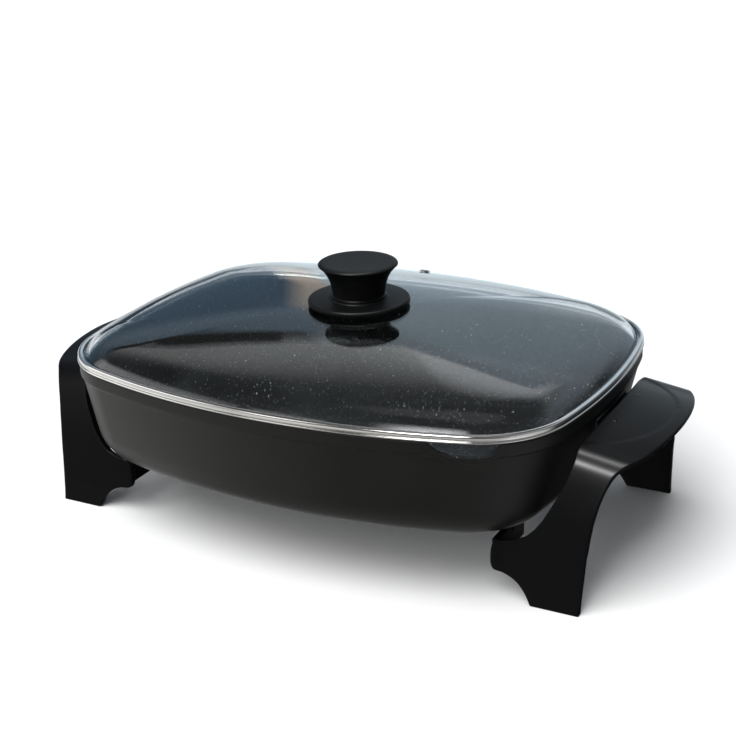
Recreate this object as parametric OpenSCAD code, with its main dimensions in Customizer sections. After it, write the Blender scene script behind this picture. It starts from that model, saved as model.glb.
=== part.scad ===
// Electric skillet: a deep cast pan between two moulded end pieces, each a
// handle with two legs, and a lift-off glass lid with a steel band and a knob.
// Millimetres, +Z up, origin on the floor under the middle of the pan.
// X runs from the inlet end (-X) to the plain end (+X), the spout is at +X, -Y.

/* [Lid outline] */
// Length of the lid over its steel band
lid_length = 400; // [360:1:440]
// Width of the lid over its steel band
lid_width = 308; // [280:1:336]
// Radius of the bowed long sides
side_radius = 500; // [420:5:700]
// Radius of the bowed short sides
end_radius = 465; // [380:5:700]
// Radius of the corners
corner_radius = 69; // [60:1:80]

/* [Lid] */
// Width of the steel band's flanges, seen from above
band_width = 5; // [4:0.1:8]
// Thickness of the band's sheet steel
band_sheet = 0.8; // [0.5:0.1:1.2]
// Thickness of the glass
glass_thickness = 3.5; // [3:0.1:5]
// Rise of the glass within its steep border
skirt_rise = 9.5; // [6:0.5:12]
// Rise of the glass from the border to the middle
crown_rise = 20; // [16:0.5:26]
// Outer radius of the steam vent's eyelet
vent_flange_r = 4.5; // [4:0.1:6]
// Radius of the steam hole
vent_hole_r = 1.8; // [1:0.1:2.4]
// Distance of the steam vent in from the lid's back edge
vent_inset = 24; // [20:1:54]
// Distance of the steam vent left of the middle
vent_left = 9; // [0:1:20]

/* [Knob] */
// Diameter of the guard disc under the knob
disc_d = 76; // [64:1:84]
// Thickness of the guard disc
disc_thickness = 4; // [3:0.1:6]
// Diameter of the raised collar on the guard disc
collar_d = 43; // [42:0.5:50]
// Height of the raised collar
collar_height = 1.2; // [1:0.1:3]
// Diameter of the neck where it stands on the collar
neck_d = 38; // [34:0.5:41]
// Diameter of the cap
cap_d = 59; // [50:0.5:66]
// Height of the grip, from collar to cap
grip_height = 26; // [22:0.5:34]
// Thickness of the silicone washers each side of the glass
seal_thickness = 1; // [0.6:0.1:1.6]
// Radius of the silicone washers
seal_r = 13; // [10:0.5:15]
// Radius of the knob screw's shank
knob_screw_r = 2.5; // [2:0.1:3]

/* [Pan] */
// Height of the pan from its floor to its rim
pan_depth = 78.2; // [68:0.2:88]
// Height of the pan's floor above the table
pan_clear = 45.3; // [42:0.1:52]
// Thickness of the pan's wall
pan_wall = 3.5; // [3:0.1:5]
// Thickness of the pan's floor
pan_floor = 4.5; // [4:0.1:6]
// Slope of the end walls
end_draft = 13.5; // [11:0.5:16]
// Slope of the long walls
side_draft = 6.5; // [5:0.5:9]
// Radius where the walls turn into the floor
floor_fillet = 31; // [24:1:36]
// Height of the rim's thick border
rim_height = 9; // [7:0.5:12]
// Inset of the rim from the lid's outline
rim_inset = 1; // [0.5:0.1:2]
// Step from the rim's border in to the wall
rim_step = 1.5; // [1:0.1:2.5]
// Gap between the rim and the lid at rest
lid_gap = 0.3; // [0.2:0.1:0.6]

/* [Pour spout] */
// Direction of the spout, from the end of the pan towards the long side
spout_angle = 73; // [60:1:76]
// Width of the spout's notch at the rim
spout_width = 44; // [36:1:50]
// Depth of the spout's notch
spout_depth = 9.5; // [6:0.5:10]
// How far the spout's lip stands out of the rim
spout_reach = 3.5; // [2:0.5:4]
// Width of the swelling under the notch
swelling_width = 60; // [54:1:64]
// Height of the swelling
swelling_height = 19; // [14:0.5:22]
// Downward slope of the spout's floor
spout_slope = 12; // [5:1:18]

/* [End pieces] */
// Half of the distance between the front and the back legs' outer faces
foot_y = 103.2; // [95:0.2:108]
// Width of a foot
foot_width = 34.5; // [28:1:42]
// How far a foot stands out past the lid's end
foot_reach = 12.5; // [10:1:20]
// How far the handle stands out past the lid's end
handle_reach = 47.5; // [44:0.5:60]
// Drop of the handle's outer edge below the rim
handle_drop = 19.5; // [17:0.5:24]
// Slope of the handle's top, falling outwards
handle_tilt = 8.7; // [5:0.1:10]
// Thickness of the moulding
shell = 5; // [4:0.1:6]
// Thickness of the handle's outer edge
lip = 2.6; // [2:0.1:4]
// Depth of the ear walls behind the leg's face
ear_depth = 46; // [40:1:50]

/* [Fixings] */
// Radius of the screws that hold legs and brackets
screw_r = 2; // [1.5:0.1:2.5]
// Radius of the screw heads
head_r = 4; // [3.5:0.1:5]
// Height of the screw heads
head_h = 2.6; // [2:0.1:3.5]
// Distance of the leg screws from the middle, along the pan
leg_screw_x = 140; // [136:1:142]
// Distance of the leg screws from the middle, across the pan
leg_screw_y = 68; // [62:1:70]
// Distance of the bracket screws from the middle, across the pan
bracket_screw_y = 20; // [16:1:24]
// Thickness of the bracket's steel
bracket_sheet = 2; // [1.5:0.1:3]

/* [Heating element] */
// Radius of the sheathed tube
tube_r = 4; // [3:0.1:4.5]
// Half length of the heating loop
loop_x = 108; // [90:1:112]
// Half width of the heating loop
loop_y = 66; // [50:1:70]
// Radius of the loop's corners
loop_corner = 38; // [30:1:46]
// Radius of the bends to the terminals
terminal_bend = 14; // [12:1:16]
// Half of the distance between the two terminals
terminal_y = 13; // [12:0.5:14]
// Radius of a terminal pin
pin_r = 2.5; // [2:0.1:2.8]
// Radius of the hole for the thermostat probe
probe_r = 3.3; // [2.8:0.1:3.6]
// Depth of the hole for the thermostat probe
probe_depth = 56; // [40:1:64]

/* [Hidden] */

$fn = 64;
fit = 0.1;
// How far a cutting shape runs past the face that it cuts
over = 1;
end_x = lid_length / 2;
side_y = lid_width / 2;
rim_z = pan_clear + pan_depth;
band_z = rim_z + lid_gap;

// ---- Rounded outline ----------------------------------------------------
// One quarter is three arcs that meet without a kink: the bowed end, the
// corner and the bowed side. The counts are the steps along each.
end_steps = 3;
corner_steps = 6;
side_steps = 4;

function corner_centre(a, b, r_end, r_side, r_corner) =
    let (p = [a - r_end, 0], q = [0, b - r_side],
         rp = r_end - r_corner, rq = r_side - r_corner,
         d = norm(q - p), u = (q - p) / d,
         x = (d * d + rp * rp - rq * rq) / (2 * d))
    p + x * u + sqrt(rp * rp - x * x) * [-u.y, u.x];

function quarter(a, b, r_end, r_side, r_corner) =
    let (p = [a - r_end, 0], q = [0, b - r_side],
         c = corner_centre(a, b, r_end, r_side, r_corner),
         t_end = atan2(c.y, c.x - p.x), t_side = atan2(c.y - q.y, c.x))
    concat(
        [for (i = [0:end_steps])
            p + r_end * unit(t_end * i / end_steps)],
        [for (i = [1:corner_steps])
            c + r_corner * unit(t_end + (t_side - t_end) * i / corner_steps)],
        [for (i = [1:side_steps])
            q + r_side * unit(t_side + (90 - t_side) * i / side_steps)]);

function unit(angle) = [cos(angle), sin(angle)];

function whole(q) = let (n = len(q)) concat(
    q,
    [for (i = [n - 2:-1:0]) [-q[i].x, q[i].y]],
    [for (i = [1:n - 1]) [-q[i].x, -q[i].y]],
    [for (i = [n - 2:-1:1]) [q[i].x, -q[i].y]]);

// The lid's outline brought in by ix at the ends and iy at the sides
function inset_outline(ix, iy) = whole(quarter(
    end_x - ix, side_y - iy, end_radius - ix, side_radius - iy,
    corner_radius - 0.4 * (ix + iy)));

function ring(ix, iy, z, scale = 1) =
    [for (p = inset_outline(ix, iy)) [p.x * scale, p.y * scale, z]];

// ---- Closed skin over a stack of rings with equal counts ----------------
module skin(rings, looped = false) {
    n = len(rings[0]);
    m = len(rings);
    last = looped ? m - 1 : m - 2;
    sides = [for (i = [0:last], j = [0:n - 1])
        let (a = i * n + j, b = (i + 1) % m * n + j,
             c = (i + 1) % m * n + (j + 1) % n, d = i * n + (j + 1) % n)
        each [[a, b, c], [a, c, d]]];
    caps = looped ? [] : [
        [for (j = [0:n - 1]) j],
        [for (j = [n - 1:-1:0]) (m - 1) * n + j]];
    polyhedron([for (r = rings) each r], concat(sides, caps), 10);
}

// ---- Places that the pan, the element and the inlet share ----------------
channel_web = 3.5;
tube_z = pan_clear - channel_web - fit - tube_r;
terminal_x = -(loop_x + terminal_bend + 26);
pin_end_x = terminal_x - 32;
socket_wall = 2;
socket_x = terminal_x - 6;
guard_back = terminal_x + 9;

// ---- Pan ----------------------------------------------------------------
fillet_steps = [90, 75, 60, 45, 30, 15];
wall_top = rim_z - rim_height - rim_step;
fillet_z = pan_clear + floor_fillet;

function fillet_inset(draft) = rim_inset + rim_step
    + tan(draft) * (wall_top - fillet_z) + floor_fillet / cos(draft);

// Inset of a wall at height z: a sloping line above, a fillet of radius r
// about the height zc below
function wall_inset(draft, r, zc, z) =
    let (tangent_z = zc - r * sin(draft), c = fillet_inset(draft))
    z > tangent_z
        ? c - r * cos(draft) - tan(draft) * (z - tangent_z)
        : c - sqrt(max(0, r * r - (zc - z) * (zc - z)));

function wall_ring(r, zc, z) =
    ring(wall_inset(end_draft, r, zc, z), wall_inset(side_draft, r, zc, z), z);

module pan_outside() skin(concat(
    [for (t = fillet_steps)
        wall_ring(floor_fillet, fillet_z, fillet_z - floor_fillet * sin(t))],
    [wall_ring(floor_fillet, fillet_z, wall_top),
     ring(rim_inset, rim_inset, rim_z - rim_height),
     ring(rim_inset, rim_inset, rim_z)]));

module pan_inside() {
    r = floor_fillet - pan_wall;
    zc = pan_clear + pan_floor + r;
    skin(concat(
        [for (t = fillet_steps) wall_ring(r, zc, zc - r * sin(t))],
        [wall_ring(r, zc, wall_top), wall_ring(r, zc, rim_z + 1)]));
}

// Frame at the spout: +X outwards, origin above the corner's centre
module at_spout() {
    c = corner_centre(end_x, side_y, end_radius, side_radius, corner_radius);
    translate([c.x, -c.y, 0]) rotate([0, 0, -spout_angle]) children();
}

// A trough seen along its length: flat in the middle, turning up to the rim
spout_steps = 12;
function trough(width, depth) = [for (i = [-spout_steps:spout_steps])
    let (t = i / spout_steps) [t * width / 2, depth * (pow(abs(t), 3.5) - 1)]];

module trough_prism(width, depth, length, top) rotate([90, 0, 90])
    linear_extrude(length)
        polygon(concat(trough(width, depth), [[width / 2, top], [-width / 2, top]]));

notch_reach = 30;
module spout_notch() at_spout() translate([corner_radius, 0, rim_z])
    rotate([0, spout_slope, 0]) translate([-notch_reach, 0, 0])
        trough_prism(spout_width, spout_depth, 2 * notch_reach, 2 * spout_depth);

// The swelling leans back until it is flush with the wall at its foot
swelling_r = 40;
swelling_lean = 18;
module spout_swelling() at_spout() translate([0, 0, rim_z]) intersection() {
    trough_prism(swelling_width, swelling_height, corner_radius + 2 * spout_reach, -fit);
    translate([corner_radius - rim_inset + spout_reach, 0, 0])
        rotate([0, swelling_lean, 0]) translate([-swelling_r, 0, -2 * swelling_height])
            cylinder(r = swelling_r, h = 4 * swelling_height);
}

// Cast pads on the end walls that carry the brackets
pad_x = end_x - 3.5;
pad_z = [rim_z - 42, rim_z - 14];
pad_y = bracket_screw_y + 10;
pad_root = 20;
pad_screw_depth = 5;

module end_pad() translate([pad_x - pad_root, -pad_y, pad_z[0]])
    cube([pad_root, 2 * pad_y, pad_z[1] - pad_z[0]]);

// Cast bosses under the floor: legs, guard
boss_h = 4;
leg_boss_r = 6;
guard_boss_r = 5;
bore_spare = 0.5;
boss_z = pan_clear - boss_h;
leg_bosses = [for (sx = [-1, 1], sy = [-1, 1])
    [sx * leg_screw_x, sy * leg_screw_y]];
guard_screw_x = guard_back + 11;
guard_screw_y = terminal_y + terminal_bend;
guard_bosses = [for (sy = [-1, 1]) [guard_screw_x, sy * guard_screw_y]];

// Cast saddle under the floor that holds the probe's socket
saddle_wall = 2;
socket_bore_r = probe_r + socket_wall + fit;
saddle_half = socket_bore_r + saddle_wall;
saddle_x = guard_back + 1;
module probe_saddle() translate([saddle_x, -saddle_half, tube_z - saddle_half])
    cube([socket_x + probe_depth - saddle_x, 2 * saddle_half,
        pan_clear + pan_floor / 2 - tube_z + saddle_half]);

module pan_body() color("#232326") difference() {
    union() {
        pan_outside();
        spout_swelling();
        end_pad();
        mirror([1, 0, 0]) end_pad();
        for (p = leg_bosses) translate([p.x, p.y, boss_z])
            cylinder(r = leg_boss_r, h = boss_h + pan_floor / 2);
        for (p = guard_bosses) translate([p.x, p.y, boss_z])
            cylinder(r = guard_boss_r, h = boss_h + pan_floor / 2);
        probe_saddle();
    }
    pan_inside();
    translate([socket_x, 0, tube_z]) rotate([0, 90, 0])
        cylinder(r = socket_bore_r, h = probe_depth + socket_wall + fit);
    spout_notch();
    for (p = concat(leg_bosses, guard_bosses)) translate([p.x, p.y, boss_z - over])
        cylinder(r = screw_r + fit, h = over + boss_h + bore_spare);
    for (sx = [-1, 1], sy = [-1, 1])
        translate([sx * pad_x, sy * bracket_screw_y, bracket_screw_z])
            rotate([0, -sx * 90, 0])
                cylinder(r = screw_r + fit, h = pad_screw_depth + bore_spare);
}

// ---- Heating element and inlet -------------------------------------------
channel_h = 8;
channel_wall = 2;

module rounded(hx, hy, r) {
    square([2 * (hx - r), 2 * hy], center = true);
    square([2 * hx, 2 * (hy - r)], center = true);
    for (sx = [-1, 1], sy = [-1, 1])
        translate([sx * (hx - r), sy * (hy - r)]) circle(r);
}

module band_2d(half) difference() {
    rounded(loop_x + half, loop_y + half, loop_corner + half);
    rounded(loop_x - half, loop_y - half, loop_corner - half);
}

module element_channel() color("#8d8f93") difference() {
    translate([0, 0, pan_clear - channel_h]) linear_extrude(channel_h)
        band_2d(tube_r + fit + channel_wall);
    translate([0, 0, pan_clear - channel_h - 1])
        linear_extrude(channel_h + 1 - channel_web) band_2d(tube_r + fit);
    // Gap where the tube's ends leave the loop
    gap = terminal_y + terminal_bend;
    translate([-loop_x - 12, -gap, pan_clear - channel_h - 1])
        cube([24, 2 * gap, channel_h + 2]);
}

module tube_bend(centre, start, radius) translate([centre.x, centre.y, tube_z])
    rotate([0, 0, start]) rotate_extrude(angle = 90)
        translate([radius, 0]) circle(tube_r);

module tube_run(from, to) translate([from.x, from.y, tube_z])
    rotate([0, 0, atan2(to.y - from.y, to.x - from.x)]) rotate([0, 90, 0])
        cylinder(r = tube_r, h = norm(to - from));

module element_half() {
    cx = loop_x - loop_corner;
    cy = loop_y - loop_corner;
    bend_y = terminal_y + terminal_bend;
    tube_run([terminal_x, terminal_y], [-loop_x - terminal_bend, terminal_y]);
    tube_bend([-loop_x - terminal_bend, bend_y], -90, terminal_bend);
    tube_run([-loop_x, bend_y], [-loop_x, cy]);
    tube_bend([-cx, cy], 90, loop_corner);
    tube_run([-cx, loop_y], [cx, loop_y]);
    tube_bend([cx, cy], 0, loop_corner);
    tube_run([loop_x, 0], [loop_x, cy]);
}

module heating_element() color("#6e6a64") union() {
    element_half();
    mirror([0, 1, 0]) element_half();
}

module each_terminal() for (sy = [-1, 1])
    translate([terminal_x, sy * terminal_y, tube_z]) rotate([0, -90, 0]) children();

// The pins are stepped: a thin root inside the bush, the plug's part outside
bush_length = 8;
root_r = pin_r - 0.6;
module terminal_bushes() color("#e6e1d6") each_terminal() difference() {
    cylinder(r = tube_r, h = bush_length);
    translate([0, 0, -1]) cylinder(r = root_r + fit, h = bush_length + 2);
}

module terminal_pins() color("#c9c9c4") each_terminal() {
    cylinder(r = root_r, h = bush_length + 1);
    translate([0, 0, bush_length])
        cylinder(r = pin_r, h = terminal_x - pin_end_x - bush_length);
}

module probe_socket() color("#9a9c9f") translate([socket_x, 0, tube_z])
    rotate([0, 90, 0]) difference() {
        cylinder(r = probe_r + socket_wall, h = probe_depth + socket_wall);
        translate([0, 0, -1]) cylinder(r = probe_r, h = probe_depth + 1);
    }

// Guard round the inlet: a tray open outwards and upwards, with slots in its
// back for what passes in, and two ears under the pan
guard_wall = 2;
plug_side = 13;
guard_y = terminal_y + plug_side;
guard_low = 12.5;
guard_ear_y = terminal_y + tube_r + 1;
module pin_guard() color("#1b1b1d") difference() {
    union() {
        translate([pin_end_x - 3, -guard_y, tube_z - guard_low])
            cube([guard_back - pin_end_x + 3, 2 * guard_y, boss_z - tube_z + guard_low]);
        for (sy = [-1, 1]) translate([guard_back - 1, 0, boss_z - guard_wall])
            linear_extrude(guard_wall) guard_ear(sy);
    }
    translate([pin_end_x - 3 - over, -guard_y + guard_wall, tube_z - guard_low + guard_wall])
        cube([guard_back - pin_end_x + 3 + over - guard_wall,
            2 * (guard_y - guard_wall), 2 * guard_low]);
    for (y = [-terminal_y, terminal_y]) guard_slot(y, tube_r);
    guard_slot(0, probe_r + socket_wall);
    for (p = guard_bosses) translate([p.x, p.y, boss_z - guard_wall - over])
        cylinder(r = screw_r + fit, h = guard_wall + 2 * over);
}

module guard_slot(y, r) {
    clear = r + 3 * fit;
    translate([guard_back - guard_wall - over, y, tube_z]) rotate([0, 90, 0])
        cylinder(r = clear, h = guard_wall + 2 * over);
    translate([guard_back - guard_wall - over, y - clear, tube_z])
        cube([guard_wall + 2 * over, 2 * clear, 2 * guard_low]);
}

module guard_ear(side) {
    reach = guard_screw_x - guard_back + 1;
    ear_end = guard_screw_y + guard_boss_r;
    translate([0, side > 0 ? guard_ear_y : -ear_end])
        square([reach, ear_end - guard_ear_y]);
    translate([reach, side * guard_screw_y]) circle(guard_boss_r);
}

// ---- Screws ----------------------------------------------------------------
// Head below z = 0, shank above
module screw(length) {
    translate([0, 0, -head_h]) cylinder(r = head_r, h = head_h);
    cylinder(r = screw_r, h = length);
}

module guard_screws() color("#b8b8b4") for (p = guard_bosses)
    translate([p.x, p.y, boss_z - guard_wall]) screw(guard_wall + boss_h);

// ---- End pieces -------------------------------------------------------------
// Heights up to the ear follow the pan's floor, those above follow the handle
ear_high = 42;
handle_z = rim_z - handle_drop;
shelf_z = boss_z;
foot_x = end_x + foot_reach;
top_x = end_x + handle_reach;

function leg_height(h) = h <= ear_high
    ? h * (shelf_z + 0.7) / ear_high
    : (shelf_z + 0.7) + (h - ear_high) * (handle_z - shelf_z - 0.7) / (104 - ear_high);

// Each row is a station along the moulding, from the foot to the middle of
// the handle: [in from the foot's face, height, inner edge, outer edge].
// Edges are measured outwards from the foot's own edges on a leg.
leg_rows = [
    [0.0, 0, 0, 0], [1.1, 8, -4.5, 0.1], [2.0, 15, -11.2, 0.4],
    [2.6, 19, -20, 0.6], [2.8, 20.5, -28, 0.7], [3.3, 24, -29.8, 0.9],
    [4.8, 36, -29.8, 1.5], [5.3, 40, -28, 1.8], [5.7, 42, -19, 2],
    [6.6, 46.5, -7, 2.5], [8.5, 55, 2.5, 3.4], [11.2, 65, 9, 5],
    [15.3, 76, 15, 7.5], [20.2, 86, 18.5, 11], [25.5, 92.5, 20, 14.5],
    [33.5, 97, 19.5, 20]
];
// On the handle the edges are measured from its middle, outer edge last:
// [share of the half span, drop, inner edge, outer edge]
handle_rows = [
    [0.562, 5, -3.7, -9], [0.388, 2.3, -1.8, -4],
    [0.194, 0.6, -0.5, -1], [0, 0, 0, 0]
];
half_path = concat(
    [for (r = leg_rows) [-foot_y + r[0], leg_height(r[1]),
        foot_x - foot_width + r[2], foot_x + r[3]]],
    [for (r = handle_rows) [-foot_y * r[0], handle_z - r[1],
        end_x + 1 + r[2], top_x + r[3]]]);
rows = len(half_path);
path = concat(half_path,
    [for (i = [rows - 2:-1:0]) let (s = half_path[i]) [-s[0], s[1], s[2], s[3]]]);

function tilt_share(z) = max(0, min(1, (z - pan_clear) / (handle_z - pan_clear - 8)));

// Outward direction across the path at station i, in the Y-Z plane
function across(i) =
    let (a = path[max(0, i - 1)], b = path[min(len(path) - 1, i + 1)],
         t = [b[0] - a[0], b[1] - a[1]] / norm([b[0] - a[0], b[1] - a[1]]))
    [-t.y, t.x];

function station(i) =
    let (s = path[i], n = i == 0 ? [-1, 0] : i == len(path) - 1 ? [1, 0] : across(i),
         drop = tan(handle_tilt) * tilt_share(s[1]),
         z_in = s[1] + drop * (top_x - s[2]), z_out = s[1] + drop * (top_x - s[3]),
         edge = shell + (lip - shell) * tilt_share(s[1]))
    [[s[2], s[0], z_in], [s[3], s[0], z_out],
     [s[3], s[0] - n[0] * edge, z_out - n[1] * edge],
     [s[2], s[0] - n[0] * shell, z_in - n[1] * shell]];

module moulding() skin([for (i = [0:len(path) - 1]) station(i)]);

ear_x = foot_x - foot_width - 29.8;
screw_pad = 7;

// Ear: the wall behind the leg's face, and the shelf that is screwed to the pan
module ear() {
    wall_z = leg_height(24);
    translate([ear_x, -foot_y + 6, wall_z])
        cube([shell, ear_depth, shelf_z - wall_z]);
    difference() {
        translate([leg_screw_x - screw_pad, -leg_screw_y - screw_pad, shelf_z - shell])
            cube([ear_x + shell - leg_screw_x + screw_pad, 2 * screw_pad, shell]);
        translate([leg_screw_x, -leg_screw_y, shelf_z - shell - 1])
            cylinder(r = screw_r + fit, h = shell + 2);
    }
}

// Bracket: an upright against the pan's pad and a tab under the handle
tab_z = handle_z - 6;
bracket_screw_z = pad_z[0] + 8;
handle_screw_x = end_x + 13;
handle_boss_r = 6;
handle_boss_h = 9;
handle_grip = 5;

module handle_boss() difference() {
    translate([0, 0, tab_z]) cylinder(r = handle_boss_r, h = handle_boss_h);
    translate([0, 0, tab_z - over])
        cylinder(r = screw_r + fit, h = over + handle_grip + bore_spare);
}

// Lug on the handle's inner edge that steadies it against the pan
lug_side = 12;
module lug() translate([pad_x + 3 * fit, -lug_side / 2, handle_z - 3])
    cube([lug_side, lug_side, 8]);

module end_piece() union() {
    moulding();
    ear();
    mirror([0, 1, 0]) ear();
    for (sy = [-1, 1]) {
        translate([handle_screw_x, sy * bracket_screw_y, 0]) handle_boss();
        translate([0, sy * bracket_screw_y, 0]) lug();
    }
}

module end_piece_right() color("#17171a") end_piece();
module end_piece_left() color("#17171a") mirror([1, 0, 0]) end_piece();

module leg_screw_pair() for (sy = [-1, 1])
    translate([leg_screw_x, sy * leg_screw_y, shelf_z - shell])
        screw(shell + boss_h);

module leg_screws_right() color("#b8b8b4") leg_screw_pair();
module leg_screws_left() color("#b8b8b4") mirror([1, 0, 0]) leg_screw_pair();

tab_rest = 8;
module bracket() difference() {
    union() {
        translate([pad_x, -pad_y, pad_z[0] + 1])
            cube([bracket_sheet, 2 * pad_y, tab_z - pad_z[0] - 1]);
        translate([pad_x, -pad_y, tab_z - bracket_sheet])
            cube([handle_screw_x + tab_rest - pad_x, 2 * pad_y, bracket_sheet]);
    }
    for (sy = [-1, 1]) {
        translate([pad_x - 1, sy * bracket_screw_y, bracket_screw_z])
            rotate([0, 90, 0]) cylinder(r = screw_r + fit, h = bracket_sheet + 2);
        translate([handle_screw_x, sy * bracket_screw_y, tab_z - bracket_sheet - 1])
            cylinder(r = screw_r + fit, h = bracket_sheet + 2);
    }
}

module bracket_right() color("#8f9296") bracket();
module bracket_left() color("#8f9296") mirror([1, 0, 0]) bracket();

module bracket_screw_pair() for (sy = [-1, 1])
    translate([pad_x + bracket_sheet, sy * bracket_screw_y, bracket_screw_z])
        rotate([0, -90, 0]) screw(bracket_sheet + pad_screw_depth);

module bracket_screws_right() color("#b8b8b4") bracket_screw_pair();
module bracket_screws_left() color("#b8b8b4")
    mirror([1, 0, 0]) bracket_screw_pair();

module handle_screw_pair() for (sy = [-1, 1])
    translate([handle_screw_x, sy * bracket_screw_y, tab_z - bracket_sheet])
        screw(bracket_sheet + handle_grip);

module handle_screws_right() color("#b8b8b4") handle_screw_pair();
module handle_screws_left() color("#b8b8b4")
    mirror([1, 0, 0]) handle_screw_pair();

// ---- Lid --------------------------------------------------------------------
seat_gap = 0.2;
roll_rise = 0.6;
glass_base = band_z + band_sheet + seat_gap;
band_top = glass_base + glass_thickness + seat_gap + band_sheet + roll_rise;
glass_edge = 1.2;
dome_inset = band_width + 0.3;
dome_shares = [0.16, 0.4, 0.6, 0.75, 0.85, 0.91, 0.95, 0.98, 1];
skirt_power = 28;

function dome(share) = skirt_rise * (1 - pow(share, skirt_power))
    + crown_rise * (1 - share * share);

glass_rise = dome(dome_shares[0]);
glass_top = glass_base + glass_thickness + glass_rise;
glass_under = glass_base + glass_rise;

function dome_ring(inset, z, share) =
    ring(inset, inset, z + dome(share), share);

vent_back = side_y - vent_inset;
vent_share = vent_back / (side_y - dome_inset);
vent_slope = atan((skirt_rise * skirt_power * pow(vent_share, skirt_power - 1)
    + 2 * crown_rise * vent_share) / (side_y - dome_inset));
vent_z = glass_base + glass_thickness + dome(vent_share);

module at_vent() translate([-vent_left, vent_back, vent_z])
    rotate([-vent_slope, 0, 0]) children();

module lid_glass() color([0.62, 0.72, 0.76, 0.35]) difference() {
    n = len(dome_shares) - 1;
    skin(concat(
        [for (s = dome_shares)
            dome_ring(dome_inset + glass_thickness, glass_base, s)],
        [ring(glass_edge, glass_edge, glass_base),
         ring(glass_edge, glass_edge, glass_base + glass_thickness)],
        [for (i = [n:-1:0])
            dome_ring(dome_inset, glass_base + glass_thickness, dome_shares[i])]));
    translate([0, 0, glass_under - 5])
        cylinder(r = knob_screw_r + 1, h = glass_thickness + 10);
    at_vent() cylinder(r = vent_hole_r + 1.2, h = 30, center = true);
}

module lid_band() color("#d4d6d8") {
    outer = 0;
    mid = band_sheet;
    inner = band_width;
    low = band_z;
    high = band_top;
    flange = high - roll_rise;
    skin([
        ring(inner, inner, low), ring(1, 1, low), ring(outer, outer, low + 1),
        ring(outer, outer, high - 1.6), ring(1, 1, high - 0.3),
        ring(2, 2, high), ring(inner, inner, flange),
        ring(inner, inner, flange - band_sheet),
        ring(mid, mid, flange - band_sheet), ring(mid, mid, low + band_sheet),
        ring(inner, inner, low + band_sheet)], looped = true);
}

vent_tube_r = vent_hole_r + 1;
module steam_vent() color("#a9abad") at_vent() difference() {
    union() {
        translate([0, 0, 0.4]) cylinder(r = vent_flange_r, h = 1);
        translate([0, 0, -glass_thickness - 1.4])
            cylinder(r = vent_tube_r, h = glass_thickness + 2);
        translate([0, 0, -glass_thickness - 2.4])
            cylinder(r = vent_flange_r - 0.5, h = 1);
    }
    cylinder(r = vent_hole_r, h = 30, center = true);
}

module washer(r_out, r_in, z, h) translate([0, 0, z]) difference() {
    cylinder(r = r_out, h = h);
    translate([0, 0, -1]) cylinder(r = r_in, h = h + 2);
}

disc_z = glass_top + seal_thickness;
grip_z = disc_z + disc_thickness + collar_height;
washer_h = 1.2;
washer_z = glass_under - seal_thickness - washer_h;
insert_r = 5;
insert_length = 14;
knob_screw_length = grip_z + insert_length - 1 - washer_z;
knob_screw_head_r = 5;
knob_screw_head_h = 3;

module lower_seal() color("#2a2a2c")
    washer(seal_r - 1, knob_screw_r + fit, glass_under - seal_thickness, seal_thickness);
module upper_seal() color("#2a2a2c")
    washer(seal_r, knob_screw_r + fit, glass_top, seal_thickness);
module knob_washer() color("#b8b8b4")
    washer(seal_r - 3, knob_screw_r + fit, washer_z, washer_h);

module knob_screw() color("#b8b8b4") translate([0, 0, washer_z]) {
    translate([0, 0, -knob_screw_head_h])
        cylinder(r = knob_screw_head_r, h = knob_screw_head_h);
    cylinder(r = knob_screw_r, h = knob_screw_length);
}

edge_r = disc_thickness / 2;
module knob_disc() color("#1c1c1e") translate([0, 0, disc_z]) rotate_extrude()
    difference() {
        union() {
            square([disc_d / 2 - edge_r, disc_thickness]);
            translate([disc_d / 2 - edge_r, edge_r]) circle(edge_r);
            square([collar_d / 2, disc_thickness + collar_height]);
        }
        translate([0, -over])
            square([knob_screw_r + fit, disc_thickness + collar_height + 2 * over]);
    }

module knob_insert() color("#b99a4c")
    washer(insert_r, knob_screw_r + fit, grip_z, insert_length);

// The neck flares in a hollow curve up to the cap's thin rounded rim
rim_r = 1.2;
neck_steps = 8;
neck_h = grip_height - 2;
function neck_r(t) = neck_d / 2
    + (cap_d - neck_d - 0.6) / 2 * (0.35 * t + 0.65 * pow(t, 3.4));

module knob_grip() color("#1c1c1e") translate([0, 0, grip_z]) rotate_extrude()
    difference() {
        union() {
            polygon(concat([[0, 0]],
                [for (i = [0:neck_steps]) let (t = i / neck_steps)
                    [neck_r(t), neck_h * t]],
                [[0, neck_h]]));
            translate([0, neck_h - fit]) square([cap_d / 2 - rim_r, grip_height - neck_h + fit]);
            translate([cap_d / 2 - rim_r, grip_height - rim_r]) circle(rim_r);
        }
        translate([0, -over]) square([insert_r + fit, over + insert_length + fit]);
    }

pan_body();
element_channel();
heating_element();
terminal_bushes();
terminal_pins();
probe_socket();
pin_guard();
guard_screws();
end_piece_left();
end_piece_right();
leg_screws_left();
leg_screws_right();
bracket_left();
bracket_right();
bracket_screws_left();
bracket_screws_right();
handle_screws_left();
handle_screws_right();
lid_glass();
lid_band();
steam_vent();
lower_seal();
upper_seal();
knob_washer();
knob_screw();
knob_disc();
knob_insert();
knob_grip();
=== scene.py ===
"""Electric skillet: pan, lid, knob, end pieces and fixings, built over the packed model"""

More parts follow.
